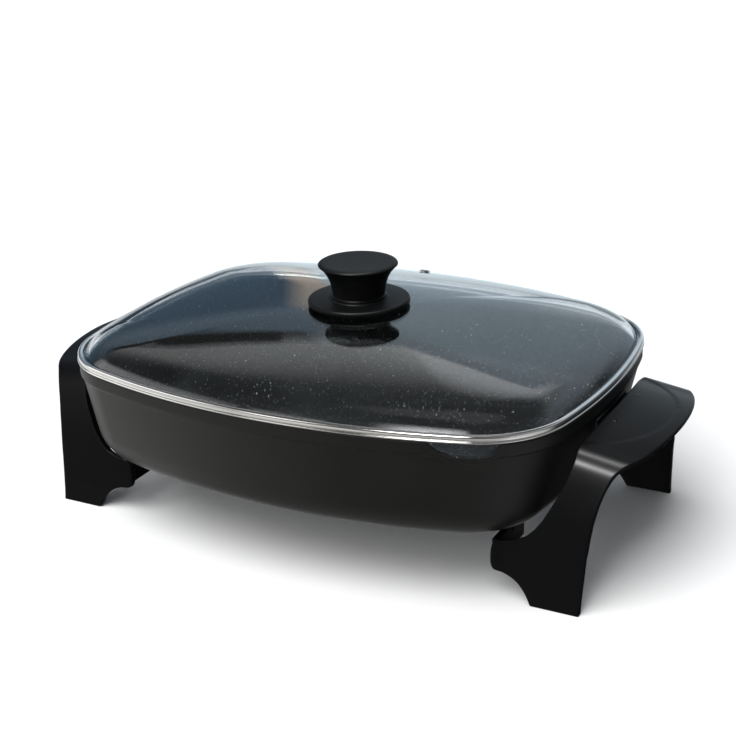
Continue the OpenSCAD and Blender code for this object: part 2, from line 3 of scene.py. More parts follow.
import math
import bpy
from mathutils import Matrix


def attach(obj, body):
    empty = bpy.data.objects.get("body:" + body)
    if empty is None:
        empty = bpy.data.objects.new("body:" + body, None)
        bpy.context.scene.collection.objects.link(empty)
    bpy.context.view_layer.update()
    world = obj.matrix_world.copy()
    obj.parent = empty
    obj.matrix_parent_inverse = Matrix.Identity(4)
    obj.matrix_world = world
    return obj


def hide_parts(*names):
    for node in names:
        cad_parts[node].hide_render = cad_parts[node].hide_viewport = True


bl_info = {
    "name": "Electric Skillet",
    "version": (1, 0, 0),
    "blender": (4, 5, 0),
    "location": "View3D > Sidebar > Skillet",
    "description": "Builds the finished pieces of an electric skillet over its packed model",
    "category": "Object",
}

import bmesh
import bpy
from bpy.props import FloatProperty, FloatVectorProperty, PointerProperty
from mathutils import Matrix, Vector

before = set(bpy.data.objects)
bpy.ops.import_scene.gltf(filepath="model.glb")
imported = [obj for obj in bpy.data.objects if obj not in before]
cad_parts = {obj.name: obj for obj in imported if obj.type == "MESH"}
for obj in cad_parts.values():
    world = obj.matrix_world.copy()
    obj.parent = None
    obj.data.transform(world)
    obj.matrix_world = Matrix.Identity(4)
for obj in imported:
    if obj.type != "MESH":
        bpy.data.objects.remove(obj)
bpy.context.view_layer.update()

MM = 0.001

# Under the floor: X and Y of the screws, height of their bosses, the guard's sheet
LEG_SCREW = (140 * MM, 68 * MM)
GUARD_SCREW = (-128 * MM, 27 * MM)
BOSS_HEIGHT = 4 * MM
GUARD_SHEET = 2 * MM
# Brackets: Y of their screws, drop of those in the pan under the rim, the sheet, and
# how far inside the lid's end their pads stand
BRACKET_SCREW_Y = 20 * MM
BRACKET_SCREW_DROP = 34 * MM
BRACKET_SHEET = 2 * MM
PAD_INSET = 3.5 * MM
# Screws in the handle: how far outside the lid's end, and drop of their bosses
HANDLE_SCREW_REACH = 13 * MM
HANDLE_BOSS_DROP = 6 * MM
# Points round a plain corner of the outline, and round the spout's
CORNER_STEPS = 28
SPOUT_STEPS = 84


# ---- Sizes and colours -----------------------------------------------------


def length(name, description, default):
    """A length in metres"""
    return FloatProperty(
        name=name, description=description, default=default, min=0.0, precision=5,
        unit="LENGTH", subtype="DISTANCE",
    )


def angle(name, description, degrees):
    """An angle, given in degrees and kept in radians"""
    return FloatProperty(
        name=name, description=description, default=math.radians(degrees),
        unit="ROTATION", subtype="ANGLE",
    )


def colour(name, description, default):
    """A surface colour"""
    return FloatVectorProperty(
        name=name, description=description, default=default, size=3, min=0.0, max=1.0,
        subtype="COLOR",
    )


class SkilletLidSizes(bpy.types.PropertyGroup):
    """Sizes of the lid: its outline, glass, band and vent"""

    length: length("Length", "Length of the lid over its band", 0.400)
    width: length("Width", "Width of the lid over its band", 0.308)
    side_radius: length("Side radius", "Radius of the bowed long sides", 0.500)
    end_radius: length("End radius", "Radius of the bowed short sides", 0.465)
    corner_radius: length("Corner radius", "Radius of the corners", 0.069)
    band_width: length("Band width", "Width of the band's flanges from above", 0.005)
    band_sheet: length("Band sheet", "Thickness of the band's sheet steel", 0.0008)
    glass: length("Glass", "Thickness of the glass", 0.0035)
    skirt_rise: length("Skirt rise", "Rise of the glass in its steep border", 0.0095)
    crown_rise: length("Crown rise", "Rise from the border to the middle", 0.020)
    vent_inset: length("Vent inset", "Distance of the vent from the back edge", 0.024)
    vent_left: length("Vent left", "Distance of the vent left of the middle", 0.009)
    vent_radius: length("Vent radius", "Outer radius of the vent's eyelet", 0.0045)


class SkilletPanSizes(bpy.types.PropertyGroup):
    """Sizes of the pan and its pour spout"""

    depth: length("Depth", "Height from the pan's underside to its rim", 0.0782)
    clearance: length("Clearance", "Height of the underside above the table", 0.0453)
    wall: length("Wall", "Thickness of the wall", 0.0035)
    floor: length("Floor", "Thickness of the floor", 0.0045)
    end_draft: angle("End draft", "Slope of the end walls", 13.5)
    side_draft: angle("Side draft", "Slope of the long walls", 6.5)
    fillet: length("Fillet", "Radius where the walls turn into the floor", 0.031)
    rim_height: length("Rim height", "Height of the rim's border", 0.009)
    rim_inset: length("Rim inset", "Inset of the rim from the lid's outline", 0.001)
    rim_step: length("Rim step", "Step from the border in to the wall", 0.0015)
    lid_gap: length("Lid gap", "Gap between the rim and the lid", 0.0003)
    spout_angle: angle("Spout angle", "Direction of the spout from the pan's end", 73.0)
    spout_width: length("Spout width", "Width of the notch at the rim", 0.044)
    spout_depth: length("Spout depth", "Depth of the notch", 0.0095)
    spout_reach: length("Spout reach", "How far the lip stands out of the rim", 0.0035)
    spout_slope: angle("Spout slope", "Downward slope of the notch's floor", 12.0)
    swelling_width: length("Swelling width", "Width of the swelling", 0.060)
    swelling_height: length("Swelling height", "Height of the swelling", 0.019)


class SkilletEndSizes(bpy.types.PropertyGroup):
    """Sizes of an end piece: one handle and two legs"""

    foot_y: length("Foot", "Half the distance between the legs' outer faces", 0.1032)
    foot_width: length("Foot width", "Width of a foot", 0.0345)
    foot_reach: length("Foot reach", "How far a foot stands out past the lid", 0.0125)
    handle_reach: length("Handle reach", "How far the handle stands out", 0.0475)
    handle_drop: length("Handle drop", "Drop of the handle's edge below the rim", 0.0195)
    handle_tilt: angle("Handle tilt", "Slope of the handle's top", 8.7)
    shell: length("Shell", "Thickness of the moulding", 0.005)
    lip: length("Lip", "Thickness of the handle's outer edge", 0.0026)
    crease: length("Crease", "Depth of the sunken oval on the handle", 0.0005)
    inner_rib: length("Inner rib", "Extra depth of a leg's curved inner edge", 0.006)


class SkilletKnobSizes(bpy.types.PropertyGroup):
    """Sizes of the knob and its guard disc"""

    disc_radius: length("Disc radius", "Radius of the guard disc", 0.038)
    disc_thickness: length("Disc thickness", "Thickness of the guard disc", 0.004)
    collar_radius: length("Collar radius", "Radius of the raised collar", 0.0215)
    collar_height: length("Collar height", "Height of the raised collar", 0.0012)
    neck_radius: length("Neck radius", "Radius of the neck at its foot", 0.019)
    cap_radius: length("Cap radius", "Radius of the cap", 0.0295)
    height: length("Height", "Height of the grip from collar to cap", 0.026)


class SkilletFinish(bpy.types.PropertyGroup):
    """Colours of the skillet's finishes"""

    coat: colour("Coat", "The pan's outside", (0.0042, 0.0042, 0.0038))
    lining: colour("Lining", "Ground colour of the non-stick lining", (0.0075, 0.0080, 0.0082))
    fleck: colour("Fleck", "Flecks in the lining", (0.58, 0.58, 0.55))
    moulding: colour("Moulding", "Handles, legs and guard", (0.0024, 0.0025, 0.0029))
    knob: colour("Knob", "Knob and guard disc", (0.0032, 0.0034, 0.0037))
    glass: colour("Glass", "Tint of the lid's glass", (0.87, 0.91, 0.93))
    band: colour("Band", "Polished steel", (0.82, 0.81, 0.79))
    floor: colour("Floor", "Stage floor", (0.87, 0.87, 0.87))


# ---- Outline shared by the lid and the pan ----------------------------------


def unit(turn):
    return Vector((math.cos(turn), math.sin(turn)))


def corner_centre(a, b, r_end, r_side, r_corner):
    """Centre of the corner arc that meets a bowed end and a bowed side without a kink"""
    p, q = Vector((a - r_end, 0)), Vector((0, b - r_side))
    rp, rq = r_end - r_corner, r_side - r_corner
    d = (q - p).length
    u = (q - p) / d
    x = (d * d + rp * rp - rq * rq) / (2 * d)
    return p + x * u + math.sqrt(rp * rp - x * x) * Vector((-u.y, u.x))


def quarter(a, b, r_end, r_side, r_corner, steps):
    """Points of one quarter, from the middle of the end to the middle of the side"""
    p, q = Vector((a - r_end, 0)), Vector((0, b - r_side))
    c = corner_centre(a, b, r_end, r_side, r_corner)
    t_end = math.atan2(c.y, c.x - p.x)
    t_side = math.atan2(c.y - q.y, c.x)
    ends, corners, sides = steps
    points = [p + r_end * unit(t_end * i / ends) for i in range(ends + 1)]
    points += [
        c + r_corner * unit(t_end + (t_side - t_end) * i / corners)
        for i in range(1, corners + 1)
    ]
    points += [
        q + r_side * unit(t_side + (math.pi / 2 - t_side) * i / sides)
        for i in range(1, sides + 1)
    ]
    return points


def outline(lid, inset_x, inset_y, spout_steps):
    """The lid's outline brought in by inset_x at the ends and inset_y at the sides"""

    def one(corner_steps):
        return quarter(
            lid.length / 2 - inset_x, lid.width / 2 - inset_y,
            lid.end_radius - inset_x, lid.side_radius - inset_y,
            lid.corner_radius - 0.4 * (inset_x + inset_y), (12, corner_steps, 16),
        )

    plain, spout = one(CORNER_STEPS), one(spout_steps)
    return (
        [(p.x, p.y) for p in plain]
        + [(-p.x, p.y) for p in plain[-2::-1]]
        + [(-p.x, -p.y) for p in plain[1:]]
        + [(p.x, -p.y) for p in spout[-2:0:-1]]
    )


def ring(lid, inset_x, inset_y, z, share=1.0, spout_steps=CORNER_STEPS):
    """The outline as a ring of points at height z, shrunk to a share of its size"""
    return [
        Vector((x * share, y * share, z))
        for x, y in outline(lid, inset_x, inset_y, spout_steps)
    ]


# ---- Mesh building ------------------------------------------------------------


def smooth_step(low, high, x):
    t = min(1.0, max(0.0, (x - low) / (high - low)))
    return t * t * (3 - 2 * t)


def soft_min(a, b, k):
    """The lesser of two values, rounded over k where they meet"""
    h = max(k - abs(a - b), 0.0) / k
    return min(a, b) - h * h * k / 4


def add_skin(bm, rings, looped=False, slots=None):
    """Joins rings of equal counts into a skin, with a cap at each open end"""
    rows = [[bm.verts.new(p) for p in points] for points in rings]
    slots = slots or [0] * len(rows)
    count = len(rows[0])
    for i in range(len(rows) if looped else len(rows) - 1):
        a, b = rows[i], rows[(i + 1) % len(rows)]
        for j in range(count):
            k = (j + 1) % count
            bm.faces.new((a[j], a[k], b[k], b[j])).material_index = slots[i]
    if not looped:
        for end in (0, -1):
            bm.faces.new(rows[end]).material_index = slots[end]


def add_lathe(bm, profile, place, segments, looped=True):
    """Turns a profile of (radius, height) in mm about Z, then moves it by place"""
    turns = [2 * math.pi * i / segments for i in range(segments)]
    rings = [
        [place @ Vector((r * MM * math.cos(t), r * MM * math.sin(t), z * MM)) for t in turns]
        for r, z in profile
    ]
    add_skin(bm, rings, looped)


def add_block(bm, low, high, edge):
    """A block with rounded edges between two corners"""
    made = bmesh.ops.create_cube(bm, size=1.0)["verts"]
    for v in made:
        for i in range(3):
            v.co[i] = low[i] + (v.co[i] + 0.5) * (high[i] - low[i])
    edges = {e for v in made for e in v.link_edges}
    bmesh.ops.bevel(
        bm, geom=list(edges), offset=edge, segments=3, profile=0.5, affect="EDGES"
    )


def rounded_corners(points, radii):
    """The corners of a closed profile, each rounded over its radius into five points"""
    out = []
    for i, (p, r) in enumerate(zip(points, radii)):
        before, after = points[i - 1] - p, points[(i + 1) % len(points)] - p
        cut = min(r, 0.49 * before.length, 0.49 * after.length)
        a, b = p + before.normalized() * cut, p + after.normalized() * cut
        out.append([
            (1 - t) ** 2 * a + 2 * t * (1 - t) * p + t * t * b
            for t in (0.0, 0.25, 0.5, 0.75, 1.0)
        ])
    return out


def points_between(a, b, steps):
    return [a.lerp(b, i / steps) for i in range(1, steps)]


def new_object(name, bm):
    """An object in the scene from a mesh under construction, which is used up"""
    mesh = bpy.data.meshes.new(name)
    bm.to_mesh(mesh)
    bm.free()
    made = bpy.data.objects.new(name, mesh)
    bpy.context.scene.collection.objects.link(made)
    return made


def make_piece(name, bm, body, replaces, finishes, sharp=38.0):
    """Turns the mesh into a finished piece that rides on a body and stands for CAD nodes"""
    bmesh.ops.remove_doubles(bm, verts=bm.verts, dist=1e-6)
    bmesh.ops.dissolve_degenerate(bm, edges=bm.edges, dist=1e-6)
    bmesh.ops.recalc_face_normals(bm, faces=bm.faces)
    piece = new_object(name, bm)
    piece.data.shade_smooth()
    piece.data.set_sharp_from_angle(angle=math.radians(sharp))
    for finish in finishes:
        piece.data.materials.append(finish_named(finish))
    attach(piece, body)
    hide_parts(*replaces)
    return piece


def make_solid(bm):
    """A bare solid, to cut with or to cut into"""
    bmesh.ops.remove_doubles(bm, verts=bm.verts, dist=1e-6)
    bmesh.ops.recalc_face_normals(bm, faces=bm.faces)
    return new_object("solid", bm)


def cut_piece(piece, cutters):
    """Cuts solids out of a piece, and removes them"""
    for cutter in cutters:
        step = piece.modifiers.new("cut", "BOOLEAN")
        step.operation = "DIFFERENCE"
        step.solver = "EXACT"
        step.object = cutter
    bpy.context.view_layer.update()
    evaluated = piece.evaluated_get(bpy.context.evaluated_depsgraph_get())
    mesh = bpy.data.meshes.new_from_object(evaluated)
    piece.modifiers.clear()
    old, piece.data = piece.data, mesh
    bpy.data.meshes.remove(old)
    mesh.name = piece.name
    for cutter in cutters:
        bpy.data.objects.remove(cutter)


# ---- Nodes ----------------------------------------------------------------------


def rgba(tone):
    """A colour with full alpha, from three numbers, or from one for a grey"""
    return (*tone, 1.0) if hasattr(tone, "__len__") else (tone, tone, tone, 1.0)


class NodeTree:
    """A node tree that is filled by short calls"""

    def __init__(self, tree):
        self.tree = tree
        tree.nodes.clear()

    def add(self, kind, **values):
        """Adds a node and sets its sockets, each under its name"""
        node = self.tree.nodes.new(f"ShaderNode{kind}")
        for name, value in values.items():
            node.inputs[name.replace("_", " ")].default_value = value
        return node

    def join(self, a, b):
        self.tree.links.new(a, b)

    def give(self, socket, value):
        """Links a socket to a node's output, or sets it to a constant"""
        if hasattr(value, "is_linked"):
            self.join(value, socket)
        else:
            socket.default_value = rgba(value) if socket.type == "RGBA" else value

    def calc(self, operation, a, b=0.0):
        node = self.add("Math")
        node.operation = operation
        self.give(node.inputs[0], a)
        self.give(node.inputs[1], b)
        return node.outputs["Value"]

    def mixed(self, factor, a, b):
        """Colour a where the factor is 0, colour b where it is 1"""
        node = self.add("Mix")
        node.data_type = "RGBA"
        self.join(factor, node.inputs["Factor"])
        self.give(node.inputs[6], a)
        self.give(node.inputs[7], b)
        return node.outputs[2]

    def spread(self, value, low, high, start=0.3, end=0.7, smooth=False):
        """Maps a value from start..end onto low..high"""
        node = self.add("MapRange", From_Min=start, From_Max=end, To_Min=low, To_Max=high)
        node.interpolation_type = "SMOOTHSTEP" if smooth else "LINEAR"
        self.join(value, node.inputs["Value"])
        return node.outputs["Result"]

    def tint(self, value, *stops):
        """A colour ramp from pairs of (place, colour)"""
        node = self.add("ValToRGB")
        ramp = node.color_ramp
        for i, (at, tone) in enumerate(stops):
            stop = ramp.elements[i] if i < 2 else ramp.elements.new(at)
            stop.position, stop.color = at, rgba(tone)
        self.join(value, node.inputs["Fac"])
        return node.outputs["Color"]


# ---- Finishes -------------------------------------------------------------------


class Finish(NodeTree):
    """One material: a Principled surface over object coordinates"""

    def __init__(self, name, **values):
        self.material = bpy.data.materials.new(name)
        self.material.use_nodes = True
        super().__init__(self.material.node_tree)
        self.output = self.add("OutputMaterial")
        self.surface = self.add("BsdfPrincipled", **values)
        self.join(self.surface.outputs["BSDF"], self.output.inputs["Surface"])
        self.place = self.add("TexCoord").outputs["Object"]

    def feed(self, name, value):
        self.join(value, self.surface.inputs[name])

    def stretched(self, x, y, z):
        """Object coordinates scaled along each axis"""
        node = self.add("Mapping", Scale=(x, y, z))
        self.join(self.place, node.inputs["Vector"])
        return node.outputs["Vector"]

    def grain(self, scale, detail, place=None):
        """Noise, scale being about its number of grains to the metre"""
        node = self.add("TexNoise", Scale=scale, Detail=detail, Roughness=0.55)
        self.join(place or self.place, node.inputs["Vector"])
        return node.outputs["Fac"]

    def cells(self, scale):
        """The distance to the nearest of many scattered points, and its random colour"""
        node = self.add("TexVoronoi", Scale=scale, Randomness=1.0)
        self.join(self.place, node.inputs["Vector"])
        return node.outputs["Distance"], node.outputs["Color"]

    def mottle(self, value, base, dark, light):
        """The base colour, from dark to light times itself"""
        return self.tint(value, (0.3, shade(base, dark)), (0.7, shade(base, light)))

    def clouded(self, scale, detail, base, tones, gloss):
        """Lets base colour and roughness vary together over a noise, each between two ends"""
        cloud = self.grain(scale, detail)
        self.feed("Base Color", self.mottle(cloud, base, *tones))
        self.feed("Roughness", self.spread(cloud, *gloss))

    def relief(self, height, distance, strength):
        """Bump from a height; gives the finished material"""
        node = self.add("Bump", Strength=strength, Distance=distance)
        self.join(height, node.inputs["Height"])
        self.feed("Normal", node.outputs["Normal"])
        return self.material


def shade(base, factor):
    return tuple(min(1.0, c * factor) for c in base)


def cast_coat(name, base):
    """Satin coat on the cast outside of the pan: fine orange peel, faint cloudiness"""
    finish = Finish(name, Specular_IOR_Level=0.3)
    finish.clouded(22, 3, base, (0.85, 1.25), (0.40, 0.47))
    return finish.relief(finish.grain(1500, 2), 0.00006, 0.35)


# The lining's flecks: cells to the metre, largest radius in a cell, share left bare
FLECKS = ((220, 0.14, 0.62), (400, 0.17, 0.40), (760, 0.22, 0.60))


def flecked_lining(name, base, fleck):
    """Non-stick lining: black ground with scattered light flecks of three sizes"""
    finish = Finish(name, Specular_IOR_Level=0.5)
    amount = 0.0
    for scale, radius, bare in FLECKS:
        distance, chance = finish.cells(scale)
        parts = finish.add("SeparateColor")
        finish.join(chance, parts.inputs["Color"])
        size = finish.spread(parts.outputs["Green"], radius * 0.5, radius, 0.0, 1.0)
        spot = finish.calc("LESS_THAN", distance, size)
        kept = finish.calc("GREATER_THAN", parts.outputs["Red"], bare)
        light = finish.spread(parts.outputs["Blue"], 0.25, 1.0, 0.0, 1.0)
        layer = finish.calc("MULTIPLY", finish.calc("MULTIPLY", spot, kept), light)
        amount = finish.calc("MAXIMUM", layer, amount)
    ground = finish.mottle(finish.grain(35, 3), base, 0.8, 1.3)
    finish.feed("Base Color", finish.mixed(amount, ground, fleck))
    finish.feed("Roughness", finish.spread(finish.grain(60, 3), 0.30, 0.38))
    return finish.relief(finish.grain(1100, 2), 0.00005, 0.3)


def moulded(name, base, rough, peel_scale):
    """Satin phenolic moulding: even black with a faint sheen that varies"""
    finish = Finish(name, Specular_IOR_Level=0.078)
    finish.clouded(16, 3, base, (0.88, 1.18), (rough - 0.025, rough + 0.035))
    return finish.relief(finish.grain(peel_scale, 2), 0.00004, 0.25)


def polished_band(name, base):
    """Polished steel strip, with fine rolling lines along it"""
    finish = Finish(name, Metallic=1.0)
    finish.clouded(45, 4, base, (0.94, 1.03), (0.10, 0.17))
    lines = finish.grain(1.0, 2, finish.stretched(60, 60, 5200))
    return finish.relief(lines, 0.00002, 0.3)


def plain_metal(name, base, rough, grain_scale=700, mottle=0.12):
    """Cast, plated or drawn metal: mottled colour and uneven gloss"""
    finish = Finish(name, Metallic=1.0)
    finish.clouded(120, 4, base, (1 - mottle, 1 + mottle), (rough - 0.05, rough + 0.07))
    return finish.relief(finish.grain(grain_scale, 3), 0.00006, 0.4)


def powdery(name, base, rough):
    """Silicone or unglazed ceramic: matte, with a fine powdery grain"""
    finish = Finish(name, Specular_IOR_Level=0.4)
    finish.clouded(150, 3, base, (0.9, 1.1), (rough - 0.04, rough + 0.06))
    return finish.relief(finish.grain(2200, 2), 0.00004, 0.3)


def clear_glass(name, tint):
    """Tempered glass, with a Transparent shader for rays from lamps so that light gets in"""
    finish = Finish(name, Transmission_Weight=1.0, IOR=1.5)
    finish.clouded(14, 4, tint, (0.985, 1.0), (0.0, 0.02))
    clear = finish.add("BsdfTransparent", Color=rgba(shade(tint, 0.92)))
    mix = finish.add("MixShader")
    finish.join(finish.add("LightPath").outputs["Is Shadow Ray"], mix.inputs[0])
    finish.join(finish.surface.outputs["BSDF"], mix.inputs[1])
    finish.join(clear.outputs["BSDF"], mix.inputs[2])
    finish.join(mix.outputs["Shader"], finish.output.inputs["Surface"])
    return finish.material


def floor_paper(name, base):
    """Matte paper of the stage's floor, very faintly clouded"""
    finish = Finish(name, Specular_IOR_Level=0.2)
    finish.clouded(3, 3, base, (0.99, 1.01), (0.75, 0.85))
    return finish.material


def finish_named(name):
    """One of the skillet's finishes, made the first time that it is asked for"""
    found = bpy.data.materials.get(name)
    if found:
        return found
    looks = bpy.context.scene.skillet_finish
    maker, *values = {
        "satin_outside": (cast_coat, looks.coat),
        "flecked_inside": (flecked_lining, looks.lining, looks.fleck),
        "end_phenolic": (moulded, looks.moulding, 0.32, 900),
        "knob_satin": (moulded, looks.knob, 0.42, 1400),
        "clear_glass": (clear_glass, looks.glass),
        "polished_band": (polished_band, looks.band),
        "dark_eyelet": (plain_metal, (0.55, 0.55, 0.54), 0.3),
        "zinc_screw": (plain_metal, (0.62, 0.62, 0.60), 0.32),
        "bracket_plate": (plain_metal, (0.16, 0.16, 0.17), 0.42),
        "bright_pin": (plain_metal, (0.72, 0.71, 0.68), 0.24, 1500, 0.06),
        "bare_casting": (plain_metal, (0.52, 0.52, 0.53), 0.48, 420),
        "oxidised_sheath": (plain_metal, (0.30, 0.28, 0.26), 0.42),
        "turned_brass": (plain_metal, (0.72, 0.55, 0.26), 0.28, 1200, 0.08),
        "black_silicone": (powdery, (0.03, 0.03, 0.032), 0.6),
        "white_ceramic": (powdery, (0.80, 0.78, 0.71), 0.65),
        "floor_paper": (floor_paper, looks.floor),
    }[name]
    return maker(name, *values)


# ---- Pan -----------------------------------------------------------------------

# The spout's reach: out from its corner's centre, to each side, and down from the rim
SPOUT_START = 20 * MM
SPOUT_HALF = 40 * MM
SPOUT_LOW = 26 * MM
# The swelling's front: its slope, and its radius from above
SWELLING_LEAN = math.radians(18)
SWELLING_RADIUS = 40 * MM
# Distance between rings of the plain wall
RING_STEP = 6 * MM
# The rim's profile, in mm: inset, of which a share of the step is added, drop under
# the rim, and how far a point stays under the notch
RIM_PROFILE = (
    (-0.1, 1, 10.35, 4.9), (0, 0.8, 10.0, 4.6), (0, 0.4, 9.55, 4.3), (0.12, 0, 9.1, 4.0),
    (0, 0, 8.5, 3.7), (0, 0, 7.2, 3.4), (0, 0, 5.8, 3.1), (0, 0, 4.5, 2.8), (0, 0, 3.3, 2.4),
    (0, 0, 2.2, 1.8), (0, 0, 1.3, 1.2), (0.06, 0, 0.75, 0.75), (0.28, 0, 0.32, 0.32),
    (0.62, 0, 0.08, 0.08), (1.0, 0, 0.0, 0.0),
)
# The saddle of the probe's socket along X, and the socket's drop under the floor
SADDLE_X = (-138 * MM, -98 * MM)
SOCKET_DROP = 7.6 * MM


class PanShape:
    """The pan's walls as functions of height, from the sizes"""

    def __init__(self, lid, pan):
        self.lid, self.pan = lid, pan
        self.rim_z = pan.clearance + pan.depth
        self.wall_top = self.rim_z - pan.rim_height - pan.rim_step
        self.outer = (pan.fillet, pan.clearance + pan.fillet)
        inner_r = pan.fillet - pan.wall
        self.inner = (inner_r, pan.clearance + pan.floor + inner_r)
        c = corner_centre(
            lid.length / 2, lid.width / 2, lid.end_radius, lid.side_radius, lid.corner_radius
        )
        self.spout_at = Vector((c.x, -c.y))
        self.out = unit(-pan.spout_angle)
        self.across = Vector((-self.out.y, self.out.x))

    def inset(self, draft, side, z):
        """Inset of a wall at height z: a sloping line over a fillet"""
        pan, (r, zc) = self.pan, side
        c = (
            pan.rim_inset + pan.rim_step
            + math.tan(draft) * (self.wall_top - self.outer[1])
            + pan.fillet / math.cos(draft)
        )
        tangent_z = zc - r * math.sin(draft)
        if z > tangent_z:
            return c - r * math.cos(draft) - math.tan(draft) * (z - tangent_z)
        return c - math.sqrt(max(0.0, r * r - (zc - z) ** 2))

    def fillet_z(self, side, degrees):
        """Height on a wall's fillet, from the wall (0) to the floor (90)"""
        r, zc = side
        return zc - r * math.sin(math.radians(degrees))

    def wall_ring(self, side, z, share=1.0, nudge=0.0):
        """The wall's outline at height z, shrunk to a share of its size"""
        ix = self.inset(self.pan.end_draft, side, z) + nudge
        iy = self.inset(self.pan.side_draft, side, z) + nudge
        return ring(self.lid, ix, iy, z, share, SPOUT_STEPS)

    def notch_top(self, u, v):
        """Height of the pan's edge near the spout, u outwards and v along the rim"""
        pan = self.pan
        t = abs(v) / (pan.spout_width / 2)
        floor = pan.spout_depth * (min(t, 1.3) ** 6 - 1) / math.cos(pan.spout_slope)
        slope = math.tan(pan.spout_slope) * (u - self.lid.corner_radius)
        return self.rim_z + soft_min(0.0, floor - slope, 1.6 * MM)

    def swelling(self, u, v, z):
        """Pushes a point of the outside out where the spout swells"""
        pan, r = self.pan, SWELLING_RADIUS
        half = pan.swelling_width / 2
        if abs(v) >= half or z < self.rim_z - pan.swelling_height - 3 * MM:
            return u
        below = z - self.rim_z
        edge = -pan.swelling_height * (1 - (abs(v) / half) ** 3.5)
        weight = smooth_step(edge - 0.8 * MM, edge + 1.2 * MM, below)
        front = self.lid.corner_radius - pan.rim_inset + pan.spout_reach
        target = (
            front + below * math.tan(SWELLING_LEAN)
            - (r - math.sqrt(r * r - v * v)) / math.cos(SWELLING_LEAN)
        )
        return u + weight * (-soft_min(-target, -u, 1.2 * MM) - u)

    def shaped(self, points, under, swells):
        """Lowers points into the notch and pushes outside points into the swelling"""
        out = []
        for p in points:
            d = p.xy - self.spout_at
            u, v = d.dot(self.out), d.dot(self.across)
            if u < SPOUT_START or abs(v) > SPOUT_HALF:
                out.append(p)
                continue
            if swells:
                u = self.swelling(u, v, min(p.z, self.notch_top(u, v) - under))
            z = min(p.z, self.notch_top(u, v) - under)
            xy = self.spout_at + u * self.out + v * self.across
            out.append(Vector((xy.x, xy.y, z)))
        return out

    def rings(self):
        """Rings from the middle of the underside, over the rim, to the middle inside"""
        pan, rim_z = self.pan, self.rim_z
        outer, inner = self.outer, self.inner
        shares = (0.02, 0.3, 0.6, 0.85)
        skin = [self.wall_ring(outer, pan.clearance, share) for share in shares]
        skin += [self.wall_ring(outer, self.fillet_z(outer, t)) for t in range(90, 10, -6)]
        z, low = self.fillet_z(outer, 6), rim_z - SPOUT_LOW
        while z < low:
            skin.append(self.wall_ring(outer, z))
            z += RING_STEP
        steps = 15
        for i in range(steps + 1):
            points = self.wall_ring(outer, low + i * (self.wall_top - 0.5 * MM - low) / steps)
            skin.append(self.shaped(points, ((steps - i) * 0.3 + 5.2) * MM, True))
        for inset, share, down, under in RIM_PROFILE:
            inset = pan.rim_inset + share * pan.rim_step + inset * MM
            points = ring(self.lid, inset, inset, rim_z - down * MM, 1.0, SPOUT_STEPS)
            skin.append(self.shaped(points, under * MM, True))
        outside = len(skin) - 1
        for nudge, down in ((-1.2, 0.0), (-0.75, 0.06), (-0.35, 0.3), (-0.1, 0.7)):
            points = self.wall_ring(inner, rim_z, 1.0, nudge * MM)
            for p in points:
                p.z = rim_z - down * MM
            skin.append(self.shaped(points, down * MM, False))
        for i in range(17):
            points = self.wall_ring(inner, rim_z - (1.2 + 1.5 * i) * MM)
            skin.append(self.shaped(points, (1.2 + 0.3 * i) * MM, False))
        z = rim_z - SPOUT_LOW - 5 * MM
        while z > self.fillet_z(inner, 6):
            skin.append(self.wall_ring(inner, z))
            z -= RING_STEP
        skin += [self.wall_ring(inner, self.fillet_z(inner, t)) for t in range(6, 91, 6)]
        floor_z = self.fillet_z(inner, 90)
        skin += [self.wall_ring(inner, floor_z, share) for share in shares[::-1]]
        return skin, [0] * outside + [1] * (len(skin) - outside)


def add_pad(bm, shape, side):
    """A pad for a bracket: an upright face, and a back inside the sloping wall"""
    end_x = shape.lid.length / 2
    half, soft = 30 * MM, 1 * MM
    low, top = shape.rim_z - 42 * MM, shape.rim_z - 14 * MM
    middle, face = (low + top) / 2, end_x - PAD_INSET

    def back(z):
        return end_x - shape.inset(shape.pan.end_draft, shape.outer, z) - 2.4 * MM

    corners = [(-half, low), (half, low), (half, top), (-half, top)]
    rows = [
        [(back(z), y, z) for y, z in corners],
        [(face - soft, y, z) for y, z in corners],
        [
            (face, y - math.copysign(soft, y), z - math.copysign(soft, z - middle))
            for y, z in corners
        ],
    ]
    add_skin(bm, [[Vector((side * x, y, z)) for x, y, z in row] for row in rows])


def add_pan_castings(bm, shape):
    """Pads for the brackets, bosses for the screws and the saddle of the probe's socket"""
    low = shape.pan.clearance
    for side in (1, -1):
        add_pad(bm, shape, side)
    (leg_x, leg_y), (guard_x, guard_y) = LEG_SCREW, GUARD_SCREW
    bosses = [(sx * leg_x, sy * leg_y, 6) for sx in (1, -1) for sy in (1, -1)]
    bosses += [(guard_x, sy * guard_y, 5) for sy in (1, -1)]
    for x, y, r in bosses:
        profile = [(2.1, 0), (r - 0.6, 0), (r - 0.15, 0.2), (r, 0.7), (r + 0.3, 3.2),
                   (r + 1.2, 4.2), (2.1, 4.5)]
        add_lathe(bm, profile, Matrix.Translation((x, y, low - BOSS_HEIGHT)), 48)
    tube_z, top = low - SOCKET_DROP, SOCKET_DROP / MM + 1
    for y0, y1, z0, z1 in ((-7.4, -4.6, -6, top), (4.6, 7.4, -6, top), (-6, 6, -7.4, -5.5)):
        add_block(
            bm, (SADDLE_X[0], y0 * MM, tube_z + z0 * MM),
            (SADDLE_X[1], y1 * MM, tube_z + z1 * MM), 0.6 * MM,
        )


